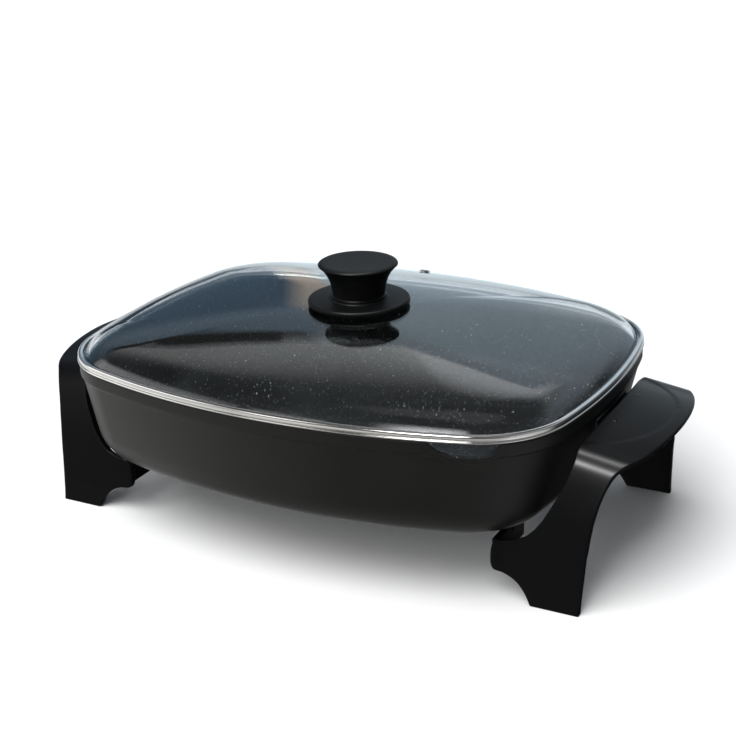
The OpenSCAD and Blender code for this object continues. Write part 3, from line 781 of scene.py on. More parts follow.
class SKILLET_OT_pan(bpy.types.Operator):
    """Build the cast pan with its rim, pour spout, pads and bosses"""

    bl_idname = "skillet.pan"
    bl_label = "Pan"

    def execute(self, context):
        scene = context.scene
        shape = PanShape(scene.skillet_lid, scene.skillet_pan)
        bm = bmesh.new()
        rings, slots = shape.rings()
        add_skin(bm, rings, slots=slots)
        add_pan_castings(bm, shape)
        make_piece(
            "cast_pan", bm, "base", ["pan_body"],
            ["satin_outside", "flecked_inside"], 32,
        )
        return {"FINISHED"}


# ---- Lid -------------------------------------------------------------------------


def lid_heights(lid, pan):
    """Underside of the band, underside of the glass's edge and inset of the dome"""
    band_z = pan.clearance + pan.depth + pan.lid_gap
    return band_z, band_z + lid.band_sheet + 0.2 * MM, lid.band_width + 0.3 * MM


# The glass: power of its steep border, share of its span that is flat for the knob,
# and radii of the knob's hole and, in mm, of the vent's
DOME_POWER = 28
DOME_FLAT = 0.16
KNOB_HOLE = 3.5 * MM
VENT_HOLE = 2.95


def dome(lid, share):
    """Height of the glass over its edge, from the middle (0) to the border (1)"""
    return lid.skirt_rise * (1 - share**DOME_POWER) + lid.crown_rise * (1 - share * share)


def vent_place(lid, pan):
    """The vent's frame: its middle on the glass, +Z square to the surface"""
    _, glass_z, inset = lid_heights(lid, pan)
    back = lid.width / 2 - lid.vent_inset
    span = lid.width / 2 - inset
    s = back / span
    border = lid.skirt_rise * DOME_POWER * s ** (DOME_POWER - 1)
    slope = math.atan((border + 2 * lid.crown_rise * s) / span)
    z = glass_z + lid.glass + dome(lid, s)
    return Matrix.Translation((-lid.vent_left, back, z)) @ Matrix.Rotation(-slope, 4, "X")


class SKILLET_OT_lid_glass(bpy.types.Operator):
    """Build the domed glass with its seat in the band, knob hole and vent hole"""

    bl_idname = "skillet.lid_glass"
    bl_label = "Lid glass"

    def execute(self, context):
        lid, pan = context.scene.skillet_lid, context.scene.skillet_pan
        _, glass_z, inset = lid_heights(lid, pan)
        shares = [0.02, 0.08] + [DOME_FLAT + 0.04 * i for i in range(19)]
        shares += [0.88 + 0.12 * (1 - (1 - i / 16) ** 1.7) for i in range(1, 17)]

        def surface(edge, base):
            rings = []
            for s in shares:
                z = base + dome(lid, max(s, DOME_FLAT))
                points = ring(lid, edge, edge, z, s)
                if s == shares[0]:
                    points = [Vector((*(KNOB_HOLE * p.xy.normalized()), z)) for p in points]
                rings.append(points)
            return rings

        under = surface(inset + lid.glass, glass_z)
        over = surface(inset, glass_z + lid.glass)
        edge = [
            ring(lid, e * MM, e * MM, glass_z + h * lid.glass)
            for e, h in (
                (1.5, 0.0), (1.25, 0.08), (1.2, 0.3), (1.2, 0.7), (1.25, 0.92), (1.5, 1.0)
            )
        ]
        bm = bmesh.new()
        add_skin(bm, under + edge + over[::-1], looped=True)
        glass = make_piece(
            "domed_glass", bm, "lid", ["lid_glass"], ["clear_glass"]
        )
        bm = bmesh.new()
        pin = [(0, -12), (VENT_HOLE, -12), (VENT_HOLE, 12), (0, 12)]
        add_lathe(bm, pin, vent_place(lid, pan), 48, looped=False)
        cut_piece(glass, [make_solid(bm)])
        return {"FINISHED"}


class SKILLET_OT_lid_band(bpy.types.Operator):
    """Build the rolled steel band: crimp on top, groove, and lower lip"""

    bl_idname = "skillet.lid_band"
    bl_label = "Lid band"

    def execute(self, context):
        lid, pan = context.scene.skillet_lid, context.scene.skillet_pan
        band_z, glass_z, _ = lid_heights(lid, pan)
        sheet = lid.band_sheet / MM
        flange = (glass_z - band_z + lid.glass) / MM + 0.2 + sheet
        width = lid.band_width / MM
        profile = [
            (width, 0.0), (1.3, 0.0), (0.75, 0.05), (0.3, 0.25), (0.05, 0.6), (0.0, 0.95),
            (0.08, 1.3), (0.3, 1.6), (0.6, 1.78), (1.2, 1.95), (0.6, 2.12), (0.48, 2.3),
            (0.45, 2.7), (0.45, flange - 1.5), (0.5, flange - 0.9), (0.68, flange - 0.4),
            (1.0, flange + 0.02), (1.5, flange + 0.34), (2.1, flange + 0.52),
            (2.7, flange + 0.5), (width - 2.0, flange + 0.36), (width - 1.3, flange + 0.08),
            (width - 1.1, flange - 0.1), (width - 1.1, flange - sheet), (1.3, flange - sheet),
            (1.3, sheet), (width, sheet),
        ]
        bm = bmesh.new()
        add_skin(
            bm, [ring(lid, e * MM, e * MM, band_z + h * MM) for e, h in profile], looped=True
        )
        make_piece("steel_band", bm, "lid", ["lid_band"], ["polished_band"])
        return {"FINISHED"}


class SKILLET_OT_vent(bpy.types.Operator):
    """Build the steam vent's eyelet with its rolled flanges"""

    bl_idname = "skillet.vent"
    bl_label = "Steam vent"

    def execute(self, context):
        lid, pan = context.scene.skillet_lid, context.scene.skillet_pan
        r, g = lid.vent_radius / MM, lid.glass / MM
        profile = [
            (1.8, -g - 2.2), (1.9, -g - 2.4), (r - 0.9, -g - 2.4), (r - 0.6, -g - 2.1),
            (r - 0.5, -g - 1.8), (r - 0.7, -g - 1.5), (2.8, -g - 1.4), (2.8, 0.4),
            (r - 0.4, 0.4), (r, 0.7), (r - 0.1, 1.05), (r - 0.6, 1.35), (r - 1.4, 1.4),
            (2.3, 1.2), (1.9, 0.9), (1.8, 0.4),
        ]
        bm = bmesh.new()
        add_lathe(bm, profile, vent_place(lid, pan), 48)
        make_piece("vent_eyelet", bm, "lid", ["steam_vent"], ["dark_eyelet"])
        return {"FINISHED"}


# ---- Knob -------------------------------------------------------------------------


def knob_foot(context):
    """Height of the guard disc's underside"""
    lid, pan = context.scene.skillet_lid, context.scene.skillet_pan
    _, glass_z, _ = lid_heights(lid, pan)
    return glass_z + lid.glass + dome(lid, DOME_FLAT) + 1 * MM


class SKILLET_OT_knob(bpy.types.Operator):
    """Build the guard disc with its collar and the flared grip"""

    bl_idname = "skillet.knob"
    bl_label = "Knob"

    def execute(self, context):
        knob = context.scene.skillet_knob
        disc_z = knob_foot(context)
        r, t = knob.disc_radius / MM, knob.disc_thickness / MM
        c, top = knob.collar_radius / MM, (knob.disc_thickness + knob.collar_height) / MM
        disc = [
            (2.6, 0.0), (r - 2.2, 0.0), (r - 0.9, 0.12), (r - 0.3, 0.5), (r - 0.05, 1.1),
            (r, 1.8), (r - 0.08, 2.6), (r - 0.35, 3.3), (r - 0.9, 3.8), (r - 1.8, t),
            (c + 1.4, t), (c + 0.6, t + 0.08), (c + 0.2, t + 0.3), (c, t + 0.7),
            (c - 0.15, top - 0.15), (c - 0.5, top), (2.6, top),
        ]
        bm = bmesh.new()
        add_lathe(bm, disc, Matrix.Translation((0, 0, disc_z)), 128)
        make_piece("guard_disc", bm, "lid", ["knob_disc"], ["knob_satin"])
        neck, cap, high = knob.neck_radius / MM, knob.cap_radius / MM, knob.height / MM
        rise = high - 2

        def neck_radius(s):
            """The flare's radius, from its foot (0) to the cap's edge (1)"""
            return neck + (cap - neck - 0.3) * (0.35 * s + 0.65 * s**3.4)

        grip = [(0.0, 14.1), (5.1, 14.1), (5.1, 0.0), (neck + 0.9, 0.0), (neck + 1.1, 0.25),
                (neck + 1.1, 0.9), (neck + 0.9, 1.15), (neck + 0.35, 1.3), (neck + 0.15, 1.6)]
        grip += [(neck_radius(i / 22), rise * i / 22) for i in range(2, 23)]
        grip += [
            (cap - 0.05, high - 1.9), (cap, high - 1.6), (cap - 0.15, high - 1.2),
            (cap - 0.6, high - 0.7), (cap - 1.4, high - 0.28), (cap - 2.6, high - 0.04),
            (cap - 4.0, high), (cap - 8, high - 0.12), (cap - 16, high - 0.35),
            (0.0, high - 0.5),
        ]
        bm = bmesh.new()
        foot = disc_z + knob.disc_thickness + knob.collar_height
        add_lathe(bm, grip, Matrix.Translation((0, 0, foot)), 128, looped=False)
        make_piece("flared_grip", bm, "lid", ["knob_grip"], ["knob_satin"])
        return {"FINISHED"}


# ---- End pieces --------------------------------------------------------------------

# Stations from the foot to the handle, in mm: in from the foot's face, height,
# inner edge and outer edge, the edges measured outwards from the foot's own
LEG_STATIONS = (
    (0.0, 0, 0, 0), (1.1, 8, -4.5, 0.1), (2.0, 15, -11.2, 0.4), (2.6, 19, -20, 0.6),
    (2.8, 20.5, -28, 0.7), (3.3, 24, -29.8, 0.9), (4.8, 36, -29.8, 1.5),
    (5.3, 40, -28, 1.8), (5.7, 42, -19, 2), (6.6, 46.5, -7, 2.5), (8.5, 55, 2.5, 3.4),
    (11.2, 65, 9, 5), (15.3, 76, 15, 7.5), (20.2, 86, 18.5, 11), (25.5, 92.5, 20, 14.5),
    (33.5, 97, 19.5, 20),
)
# On the handle: share of the half span, drop, inner edge and outer edge
HANDLE_STATIONS = (
    (0.562, 5, -3.7, -9), (0.388, 2.3, -1.8, -4), (0.194, 0.6, -0.5, -1), (0, 0, 0, 0)
)
# Heights on the stations' scale: the ear's top, and the handle's edge
EAR_HEIGHT = 42
HANDLE_HEIGHT = 104
# The ear: its reach in from the foot, and its wall's start on the stations' scale and
# two ends, in from the foot's outer face
EAR_REACH = 29.8 * MM
EAR_WALL_LOW = 24
EAR_WALL_ENDS = (6 * MM, 52 * MM)
# The handle's sunken oval: its middle, in X from the lid's end, and its half sizes
OVAL_MIDDLE = (-15 * MM, 3 * MM)
OVAL_HALF = (55 * MM, 66 * MM)


class EndShape:
    """The end piece at the plain end of the pan, as stations along its moulding"""

    def __init__(self, lid, pan, ends):
        self.ends, self.pan = ends, pan
        self.end_x = lid.length / 2
        self.handle_z = pan.clearance + pan.depth - ends.handle_drop
        self.shelf_z = pan.clearance - BOSS_HEIGHT
        self.foot_x = self.end_x + ends.foot_reach
        self.top_x = self.end_x + ends.handle_reach

    def leg_height(self, h):
        """A height in metres from one on the stations' scale"""
        low = self.shelf_z + 0.7 * MM
        if h <= EAR_HEIGHT:
            return h * low / EAR_HEIGHT
        share = (h - EAR_HEIGHT) / (HANDLE_HEIGHT - EAR_HEIGHT)
        return low + share * (self.handle_z - low)

    def half_path(self):
        """The stations from one foot to the handle's middle: Y, Z, inner and outer X"""
        ends = self.ends
        rows = [
            (-ends.foot_y + a * MM, self.leg_height(h),
             self.foot_x - ends.foot_width + i * MM, self.foot_x + o * MM)
            for a, h, i, o in LEG_STATIONS
        ]
        rows += [
            (-ends.foot_y * a, self.handle_z - d * MM,
             self.end_x + (1 + i) * MM, self.top_x + o * MM)
            for a, d, i, o in HANDLE_STATIONS
        ]
        return rows

    def path(self, spacing):
        """The stations joined by a smooth curve and set out at an even spacing"""
        half = [Vector(row) for row in self.half_path()]
        rows = half + [Vector((-r[0], r[1], r[2], r[3])) for r in half[-2::-1]]
        rows = [2 * rows[0] - rows[1]] + rows + [2 * rows[-1] - rows[-2]]
        out = []
        for i in range(1, len(rows) - 2):
            p = rows[i - 1 : i + 3]
            knots = [0.0]
            for a, b in zip(p, p[1:]):
                knots.append(knots[-1] + max((b - a).length, 1e-6) ** 0.5)
            count = max(2, round((p[2] - p[1]).length / spacing))
            for s in range(count):
                t = knots[1] + (knots[2] - knots[1]) * s / count
                level = p
                for depth in (1, 2):
                    level = [
                        a.lerp(b, (t - knots[j]) / (knots[j + depth] - knots[j]))
                        for j, (a, b) in enumerate(zip(level, level[1:]))
                    ]
                out.append(level[0].lerp(level[1], s / count))
        out.append(rows[-2])
        return out

    def tilt_share(self, z):
        """0 where the moulding's surface is level across, 1 on the tilted handle"""
        low = self.pan.clearance
        return max(0.0, min(1.0, (z - low) / (self.handle_z - low - 8 * MM)))

    def rib_share(self, z):
        """1 on the curved part of a leg, where its inner edge is deeper, 0 elsewhere"""
        low, high = self.shelf_z, self.handle_z
        rising = smooth_step(low + 4 * MM, low + 14 * MM, z)
        return rising * (1 - smooth_step(high - 22 * MM, high - 8 * MM, z))

    def oval(self, x, y):
        """1 in the sunken oval of the handle's top, 0 outside it"""
        dx, dy = x - self.end_x - OVAL_MIDDLE[0], y - OVAL_MIDDLE[1]
        return 1 - smooth_step(0.978, 1.0, math.hypot(dx / OVAL_HALF[0], dy / OVAL_HALF[1]))

    def sections(self):
        """Closed profiles square to the path, with rounded corners"""
        ends, path = self.ends, self.path(1.8 * MM)
        out = []
        for i, (y, z, x_in, x_out) in enumerate(path):
            a, b = path[max(0, i - 1)], path[min(len(path) - 1, i + 1)]
            along = Vector((b[0] - a[0], b[1] - a[1])).normalized()
            n = Vector((-along.y, along.x))
            blend = smooth_step(0.0, 4 * MM, z)
            if blend < 1:
                n = (Vector((math.copysign(1, y), 0)) * (1 - blend) + n * blend).normalized()
            share = self.tilt_share(z)
            drop = math.tan(ends.handle_tilt) * share
            edge = ends.shell + (ends.lip - ends.shell) * share
            inner = ends.shell + ends.inner_rib * self.rib_share(z)

            def at(x, depth):
                top = z + drop * (self.top_x - x)
                return Vector((x, y - n.x * depth, top - n.y * depth))

            top_in, top_out, low_out, low_in = rounded_corners(
                [at(x_in, 0), at(x_out, 0), at(x_out, edge), at(x_in, inner)],
                [0.9 * MM, 1.25 * MM, 0.9 * MM, 0.6 * MM],
            )
            face = points_between(top_in[-1], top_out[0], 26)
            if share > 0.5:
                for p in face:
                    p.z -= ends.crease * self.oval(p.x, p.y)
            back = points_between(low_out[-1], low_in[0], 6)
            out.append(top_in + face + top_out + low_out + back + low_in)
        return out


def add_end_details(bm, shape):
    """Ear walls, shelves, screw bosses and lugs inside an end piece"""
    ends, end_x, handle_z, shelf_z = shape.ends, shape.end_x, shape.handle_z, shape.shelf_z
    ear_x = shape.foot_x - ends.foot_width - EAR_REACH
    ear_back, wall_z = ear_x + ends.shell, shape.leg_height(EAR_WALL_LOW)
    shelf_low, high = shelf_z - ends.shell, ends.shell / MM
    leg_x, leg_y = LEG_SCREW
    shelf_boss = [(2.1, 0), (6.6, 0), (6.9, 0.3), (6.9, high - 0.3), (6.6, high), (2.1, high)]
    handle_boss = [(2.1, 0), (5.7, 0), (6, 0.3), (6, 8.5), (2.1, 8.5)]
    for side in (-1, 1):
        y0, y1 = sorted(side * (ends.foot_y - inset) for inset in EAR_WALL_ENDS)
        add_block(bm, (ear_x, y0, wall_z), (ear_back, y1, shelf_z), 0.8 * MM)
        y = side * leg_y
        for near, far in ((-7, -2.4), (2.4, 7)):
            add_block(
                bm, (leg_x - 7 * MM, y + near * MM, shelf_low),
                (ear_back, y + far * MM, shelf_z), 0.6 * MM,
            )
        add_lathe(bm, shelf_boss, Matrix.Translation((leg_x, y, shelf_low)), 48)
        x, y = end_x + HANDLE_SCREW_REACH, side * BRACKET_SCREW_Y
        place = Matrix.Translation((x, y, handle_z - HANDLE_BOSS_DROP))
        add_lathe(bm, handle_boss, place, 48)
        add_block(
            bm, (end_x - 3.2 * MM, y - 6 * MM, handle_z - 3 * MM),
            (end_x + 8.8 * MM, y + 6 * MM, handle_z + 5 * MM), 0.8 * MM,
        )


class SKILLET_OT_end_pieces(bpy.types.Operator):
    """Build both end pieces, each a handle with two legs in one moulding"""

    bl_idname = "skillet.end_pieces"
    bl_label = "End pieces"

    def execute(self, context):
        scene = context.scene
        shape = EndShape(scene.skillet_lid, scene.skillet_pan, scene.skillet_ends)
        for name, side in (("right", 1), ("left", -1)):
            bm = bmesh.new()
            add_skin(bm, shape.sections())
            add_end_details(bm, shape)
            for v in bm.verts:
                v.co.x *= side
            make_piece(
                f"end_moulding_{name}", bm, "base", [f"end_piece_{name}"],
                ["end_phenolic"],
            )
        return {"FINISHED"}


# ---- Fixings --------------------------------------------------------------------------


def screw_mesh(shank):
    """A pan-head screw with a cross recess: its head below z = 0, its shank, in mm, above"""
    head_r, head_h, shank_r = 4.0, 2.6, 2.0
    profile = [(0, -head_h), (head_r * 0.45, -head_h + 0.04), (head_r * 0.75, -head_h + 0.3),
               (head_r * 0.93, -head_h + 0.9), (head_r, -head_h + 1.6), (head_r, -0.25),
               (head_r - 0.25, 0.0), (shank_r, 0.0), (shank_r, shank - 0.5),
               (shank_r - 0.5, shank), (0, shank)]
    bm = bmesh.new()
    add_lathe(bm, profile, Matrix.Identity(4), 40, looped=False)
    screw = make_solid(bm)
    cutters = []
    x, y = 2.1 * MM, 0.45 * MM
    for turn in (0, 90):
        bm = bmesh.new()
        add_block(bm, (-x, -y, -6 * MM), (x, y, -1.3 * MM), 0.1 * MM)
        turned = Matrix.Rotation(math.radians(turn), 3, "Z")
        bmesh.ops.rotate(bm, verts=bm.verts, matrix=turned)
        cutters.append(make_solid(bm))
    cut_piece(screw, cutters)
    mesh = screw.data
    bpy.data.objects.remove(screw)
    return mesh


class SKILLET_OT_screws(bpy.types.Operator):
    """Build the cross-head screws of the legs, brackets, handles and guard"""

    bl_idname = "skillet.screws"
    bl_label = "Screws"

    def execute(self, context):
        scene = context.scene
        pan, ends = scene.skillet_pan, scene.skillet_ends
        shape = EndShape(scene.skillet_lid, pan, ends)
        end_x, shelf_z = shape.end_x, shape.shelf_z
        pad_x, pad_z = end_x - PAD_INSET, pan.clearance + pan.depth - BRACKET_SCREW_DROP
        tab_z = shape.handle_z - HANDLE_BOSS_DROP - BRACKET_SHEET
        # Of each pair: shank in mm, X, Y of one and of its twin, Z, and turn about Y
        pairs = {"guard_screws": (6.0, *GUARD_SCREW, shelf_z - GUARD_SHEET, 0)}
        leg_x, leg_y = LEG_SCREW
        for name, side in (("right", 1), ("left", -1)):
            pairs[f"leg_screws_{name}"] = (9.0, side * leg_x, leg_y, shelf_z - ends.shell, 0)
            pairs[f"bracket_screws_{name}"] = (
                7.0, side * (pad_x + BRACKET_SHEET), BRACKET_SCREW_Y, pad_z, -side * 90
            )
            pairs[f"handle_screws_{name}"] = (
                7.0, side * (end_x + HANDLE_SCREW_REACH), BRACKET_SCREW_Y, tab_z, 0
            )
        meshes = {shank: screw_mesh(shank) for shank in {pair[0] for pair in pairs.values()}}
        for node, (shank, x, half, z, turn) in pairs.items():
            turned = Matrix.Rotation(math.radians(turn), 4, "Y")
            bm = bmesh.new()
            for y in (-half, half):
                part = meshes[shank].copy()
                part.transform(Matrix.Translation((x, y, z)) @ turned)
                bm.from_mesh(part)
                bpy.data.meshes.remove(part)
            make_piece(f"cross_{node}", bm, "base", [node], ["zinc_screw"])
        for mesh in meshes.values():
            bpy.data.meshes.remove(mesh)
        return {"FINISHED"}


class SKILLET_OT_inner_parts(bpy.types.Operator):
    """Give the element, inlet, brackets and the knob's small parts their finishes"""

    bl_idname = "skillet.inner_parts"
    bl_label = "Inner parts"

    def execute(self, context):
        finishes = {
            "element_channel": "bare_casting", "heating_element": "oxidised_sheath",
            "terminal_bushes": "white_ceramic", "terminal_pins": "bright_pin",
            "probe_socket": "oxidised_sheath", "pin_guard": "end_phenolic",
            "bracket_left": "bracket_plate", "bracket_right": "bracket_plate",
            "lower_seal": "black_silicone", "upper_seal": "black_silicone",
            "knob_washer": "zinc_screw", "knob_screw": "zinc_screw",
            "knob_insert": "turned_brass",
        }
        for node, finish in finishes.items():
            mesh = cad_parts[node].data
            mesh.materials.clear()
            mesh.materials.append(finish_named(finish))
        return {"FINISHED"}


# ---- Stage -------------------------------------------------------------------------------

# The camera: where it stands, what it looks at, its roll and its lens
CAMERA_PLACE = Vector((0.4981, -0.9101, 0.5103))
CAMERA_AIM = Vector((0.05474, -0.09076, 0.1469))
CAMERA_ROLL = math.radians(-1.82)
CAMERA_LENS = 72.443


def camera_matrix():
    """The camera's place and turn, looking down at the skillet from the front right"""
    back = (CAMERA_PLACE - CAMERA_AIM).normalized()
    right = Vector((0, 0, 1)).cross(back).normalized()
    up = back.cross(right)
    c, s = math.cos(CAMERA_ROLL), math.sin(CAMERA_ROLL)
    right, up = right * c + up * s, up * c - right * s
    turn = Matrix((right, up, back)).transposed().to_4x4()
    return Matrix.Translation(CAMERA_PLACE) @ turn


def add_far_light(name, direction, spread, strength, gloss=False, pieces=()):
    """A soft light far off, for every piece or some: plain light, or highlights alone"""
    data = bpy.data.lights.new(name, "SUN")
    data.angle = math.radians(spread)
    data.energy = strength
    light = bpy.data.objects.new(name, data)
    light.rotation_euler = Vector(direction).to_track_quat("Z", "Y").to_euler()
    light.visible_glossy = light.visible_transmission = gloss
    light.visible_diffuse = not gloss
    if pieces:
        lit = bpy.data.collections.new(f"{name}_pieces")
        for piece in pieces:
            lit.objects.link(bpy.data.objects[piece])
        light.light_linking.receiver_collection = lit
    bpy.context.scene.collection.objects.link(light)


class StudioGlow(NodeTree):
    """The studio in reflections: bearings in degrees from +Y to +X, heights as sines"""

    def __init__(self):
        self.world = bpy.data.worlds.new("studio")
        self.world.use_nodes = True
        super().__init__(self.world.node_tree)
        self.glow = self.add("Background")
        self.join(self.glow.outputs["Background"], self.add("OutputWorld").inputs["Surface"])
        self.direction = self.add("TexCoord").outputs["Generated"]
        parts = self.add("SeparateXYZ")
        self.join(self.direction, parts.inputs["Vector"])
        bearing = self.calc("ARCTAN2", parts.outputs["X"], parts.outputs["Y"])
        self.bearing = self.calc("MULTIPLY", bearing, math.degrees(1.0))
        self.height = parts.outputs["Z"]

    def step(self, value, start, end):
        return self.spread(value, 0.0, 1.0, start, end, smooth=True)

    def along(self, axis):
        """How far the direction points along an axis"""
        node = self.add("VectorMath")
        node.operation = "DOT_PRODUCT"
        node.inputs[1].default_value = axis
        self.join(self.direction, node.inputs[0])
        return node.outputs["Value"]

    def around(self, *stops):
        """Light that changes with the bearing, from pairs of (bearing, colour)"""
        turn = self.spread(self.bearing, 0.0, 1.0, -180.0, 180.0)
        return self.tint(turn, *(((at + 180) / 360, light) for at, light in stops))

    def over(self, low, high, start, end):
        """Passes from the low light to the high one between two heights"""
        return self.mixed(self.step(self.height, start, end), low, high)

    def window(self, behind, light, bearing, elevation, width, height, soft):
        """Sets an even rectangle of light over what is behind it; angles are in degrees"""
        turn, rise = math.radians(bearing), math.radians(elevation)
        across = Vector((math.cos(turn), -math.sin(turn), 0))
        centre = Vector(
            (math.sin(turn) * math.cos(rise), math.cos(turn) * math.cos(rise), math.sin(rise))
        )
        mask = self.step(self.along(centre), 0.3, 0.5)
        for axis, size in ((across, width), (across.cross(centre), height)):
            offset = self.calc("ABSOLUTE", self.along(axis))
            inner, outer = (math.sin(math.radians(size / 2 + d)) for d in (-soft, soft))
            mask = self.calc("MULTIPLY", mask, self.step(offset, outer, inner))
        return self.mixed(mask, behind, light)


def studio_world():
    """Floor, table, walls, shelf, cornice, ceiling and windows; plain white for the camera"""
    studio = StudioGlow()
    dark, beige, haze = 0.10, (0.62, 0.54, 0.46), (0.12, 0.125, 0.13)
    deep = studio.around(
        (-180, 0.07), (-172, (0.07, 0.07, 0.06)), (-158, (0.28, 0.28, 0.26)),
        (-140, (0.72, 0.72, 0.69)), (-106, (1.5, 1.5, 1.45)), (-8, (0.95, 0.97, 1.0)),
        (12, 0.2), (20, 0.08), (60, 0.06), (82, (0.42, 0.42, 0.44)), (95, (0.8, 0.8, 0.82)),
        (120, (1.05, 1.05, 1.07)), (138, 0.3), (180, 0.07),
    )
    table = studio.around(
        (-180, (0.55, 0.55, 0.54)), (-157, (0.78, 0.76, 0.74)), (-140, (0.6, 0.6, 0.59)),
        (-80, (0.9, 0.9, 0.89)), (-8, (0.95, 0.97, 1.0)), (12, 0.2), (20, 0.08), (62, 0.05),
        (80, 0.55), (110, 0.6), (132, 0.45), (180, 0.5),
    )
    ground = studio.around(
        (-180, 0.04), (-172, 0.04), (-158, 0.14), (-140, (0.42, 0.42, 0.41)),
        (-106, (0.9, 0.9, 0.89)), (-42, (0.92, 0.96, 1.0)), (-30, (1.2, 1.38, 1.48)),
        (-8, (1.2, 1.38, 1.48)), (12, 0.2), (20, 0.08), (60, 0.05), (82, (0.25, 0.25, 0.26)),
        (95, (0.45, 0.45, 0.46)), (117, (0.45, 0.45, 0.46)), (135, 0.12), (180, 0.05),
    )
    low_walls = studio.around(
        (-180, dark), (-140, (0.12, 0.13, 0.14)), (-80, (0.10, 0.15, 0.20)),
        (-32.7, (0.09, 0.14, 0.20)), (-32.3, beige), (-30.4, beige),
        (-30.1, (0.45, 0.56, 0.65)), (-19, (0.47, 0.57, 0.66)), (-13, (0.76, 0.86, 0.92)),
        (-6, (0.76, 0.86, 0.92)), (10, (0.48, 0.57, 0.67)), (28, (0.08, 0.09, 0.10)),
        (90, (0.10, 0.11, 0.12)), (150, dark), (180, dark),
    )
    high_walls = studio.around(
        (-180, dark), (-140, (0.12, 0.13, 0.14)), (-80, (0.18, 0.24, 0.30)),
        (-32.7, (0.24, 0.32, 0.40)), (-32.3, (0.34, 0.38, 0.42)), (-30.1, (0.48, 0.59, 0.67)),
        (15, (0.50, 0.59, 0.68)), (40, (0.36, 0.39, 0.42)), (90, (0.44, 0.45, 0.46)),
        (132, 0.28), (150, dark), (180, dark),
    )
    shelf = studio.around(
        (-180, dark), (-90, (0.15, 0.16, 0.17)), (-60, 0.05), (-35, 0.06),
        (-33, (0.46, 0.53, 0.60)), (20, (0.52, 0.61, 0.70)), (90, (0.40, 0.41, 0.42)),
        (150, dark), (180, dark),
    )
    cornice = studio.around(
        (-180, dark), (-90, 0.15), (-60, (0.45, 0.46, 0.46)), (-34, (0.65, 0.66, 0.66)),
        (-29, (0.80, 0.82, 0.82)), (-26, (1.22, 1.25, 1.28)), (0, (1.0, 1.05, 1.1)),
        (4, (0.45, 0.47, 0.50)), (40, (0.40, 0.42, 0.45)), (90, (0.15, 0.15, 0.16)),
        (180, dark),
    )
    ceiling = studio.around(
        (-180, dark), (-60, (0.10, 0.105, 0.11)), (-30, haze), (40, haze),
        (90, (0.15, 0.15, 0.16)), (180, dark),
    )
    # From the floor up: each light, and the heights between which it takes over
    light = (0.35, 0.35, 0.34)
    for layer, start, end in (
        (deep, -0.80, -0.60), (table, -0.47, -0.44), (ground, -0.31, -0.28),
        (low_walls, -0.01, 0.06), (high_walls, 0.22, 0.42), (shelf, 0.500, 0.515),
        (cornice, 0.55, 0.565), (ceiling, 0.59, 0.74), (0.35, 0.92, 0.97),
    ):
        light = studio.over(light, layer, start, end)
    # Three windows and a dark part of the table: light, direction, size and soft edge
    for window in (
        (1.3, -116, 14, 46, 28, 3), ((1.7, 1.7, 1.66), -153, 15, 14, 27, 2.5),
        (7.0, -182, 28, 14, 28, 5), (0.01, 30, -43, 60, 30, 6),
    ):
        light = studio.window(light, *window)
    light = studio.mixed(studio.add("LightPath").outputs["Is Camera Ray"], light, 1.0)
    studio.join(light, studio.glow.inputs["Color"])
    return studio.world


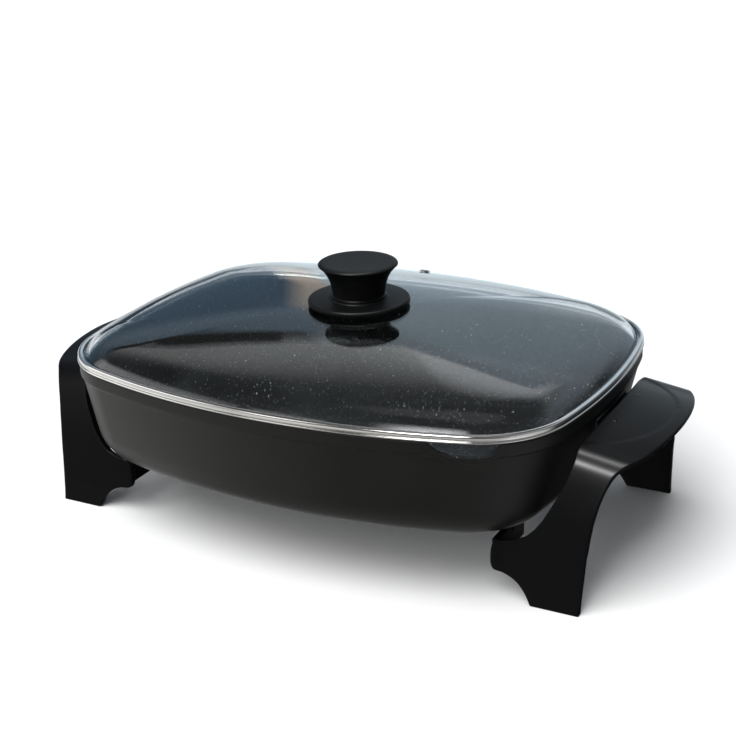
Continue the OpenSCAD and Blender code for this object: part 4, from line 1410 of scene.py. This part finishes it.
class SKILLET_OT_stage(bpy.types.Operator):
    """Build the pale floor, the soft lights, the room's glow and the camera"""

    bl_idname = "skillet.stage"
    bl_label = "Stage"

    def execute(self, context):
        scene = context.scene
        bm = bmesh.new()
        bmesh.ops.create_grid(bm, x_segments=4, y_segments=4, size=30.0)
        floor = new_object("floor", bm)
        floor.location.z = -0.2 * MM
        floor.data.materials.append(finish_named("floor_paper"))
        floor.visible_glossy = False
        scene.world = studio_world()
        add_far_light("floor_light", (-0.15, -0.47, 1.0), 52, 3.4)
        satin = ("guard_disc", "flared_grip", "end_moulding_right", "end_moulding_left")
        add_far_light("fleck_light", (-0.2, 0.1, 1.0), 20, 4.0, False, ("cast_pan",))
        add_far_light("overhead_light", (-0.08, 0.23, 0.97), 9, 3.0, True, satin)
        add_far_light("front_light", (-0.12, -0.46, 0.88), 8, 8.5, True, satin)
        data = bpy.data.cameras.new("camera")
        data.sensor_fit = "HORIZONTAL"
        data.sensor_width = 36.0
        data.lens = CAMERA_LENS
        data.clip_start, data.clip_end = 0.01, 100
        camera = bpy.data.objects.new("camera", data)
        camera.matrix_world = camera_matrix()
        scene.collection.objects.link(camera)
        scene.camera = camera
        scene.view_settings.view_transform = "Standard"
        return {"FINISHED"}


# ---- Panel and registration ----------------------------------------------------------------

OPERATORS = (
    SKILLET_OT_pan, SKILLET_OT_lid_glass, SKILLET_OT_lid_band, SKILLET_OT_vent,
    SKILLET_OT_knob, SKILLET_OT_end_pieces, SKILLET_OT_screws, SKILLET_OT_inner_parts,
    SKILLET_OT_stage,
)
GROUPS = {
    "skillet_lid": SkilletLidSizes, "skillet_pan": SkilletPanSizes,
    "skillet_ends": SkilletEndSizes, "skillet_knob": SkilletKnobSizes,
    "skillet_finish": SkilletFinish,
}


class SKILLET_PT_panel(bpy.types.Panel):
    """Lists the skillet's sizes, colours and pieces"""

    bl_idname = "SKILLET_PT_panel"
    bl_label = "Electric Skillet"
    bl_space_type = "VIEW_3D"
    bl_region_type = "UI"
    bl_category = "Skillet"

    def draw(self, context):
        for attribute, group in GROUPS.items():
            box = self.layout.box()
            box.label(text=group.__doc__)
            for name in group.__annotations__:
                box.prop(getattr(context.scene, attribute), name)
        for operator in OPERATORS:
            self.layout.operator(operator.bl_idname)


def register():
    for group in GROUPS.values():
        bpy.utils.register_class(group)
    for attribute, group in GROUPS.items():
        setattr(bpy.types.Scene, attribute, PointerProperty(type=group))
    for operator in OPERATORS:
        bpy.utils.register_class(operator)
    bpy.utils.register_class(SKILLET_PT_panel)


def unregister():
    bpy.utils.unregister_class(SKILLET_PT_panel)
    for operator in reversed(OPERATORS):
        bpy.utils.unregister_class(operator)
    for attribute in GROUPS:
        delattr(bpy.types.Scene, attribute)
    for group in GROUPS.values():
        bpy.utils.unregister_class(group)


def main():
    register()
    bpy.ops.skillet.pan()
    bpy.ops.skillet.lid_glass()
    bpy.ops.skillet.lid_band()
    bpy.ops.skillet.vent()
    bpy.ops.skillet.knob()
    bpy.ops.skillet.end_pieces()
    bpy.ops.skillet.screws()
    bpy.ops.skillet.inner_parts()
    bpy.ops.skillet.stage()


if __name__ == "__main__":
    main()
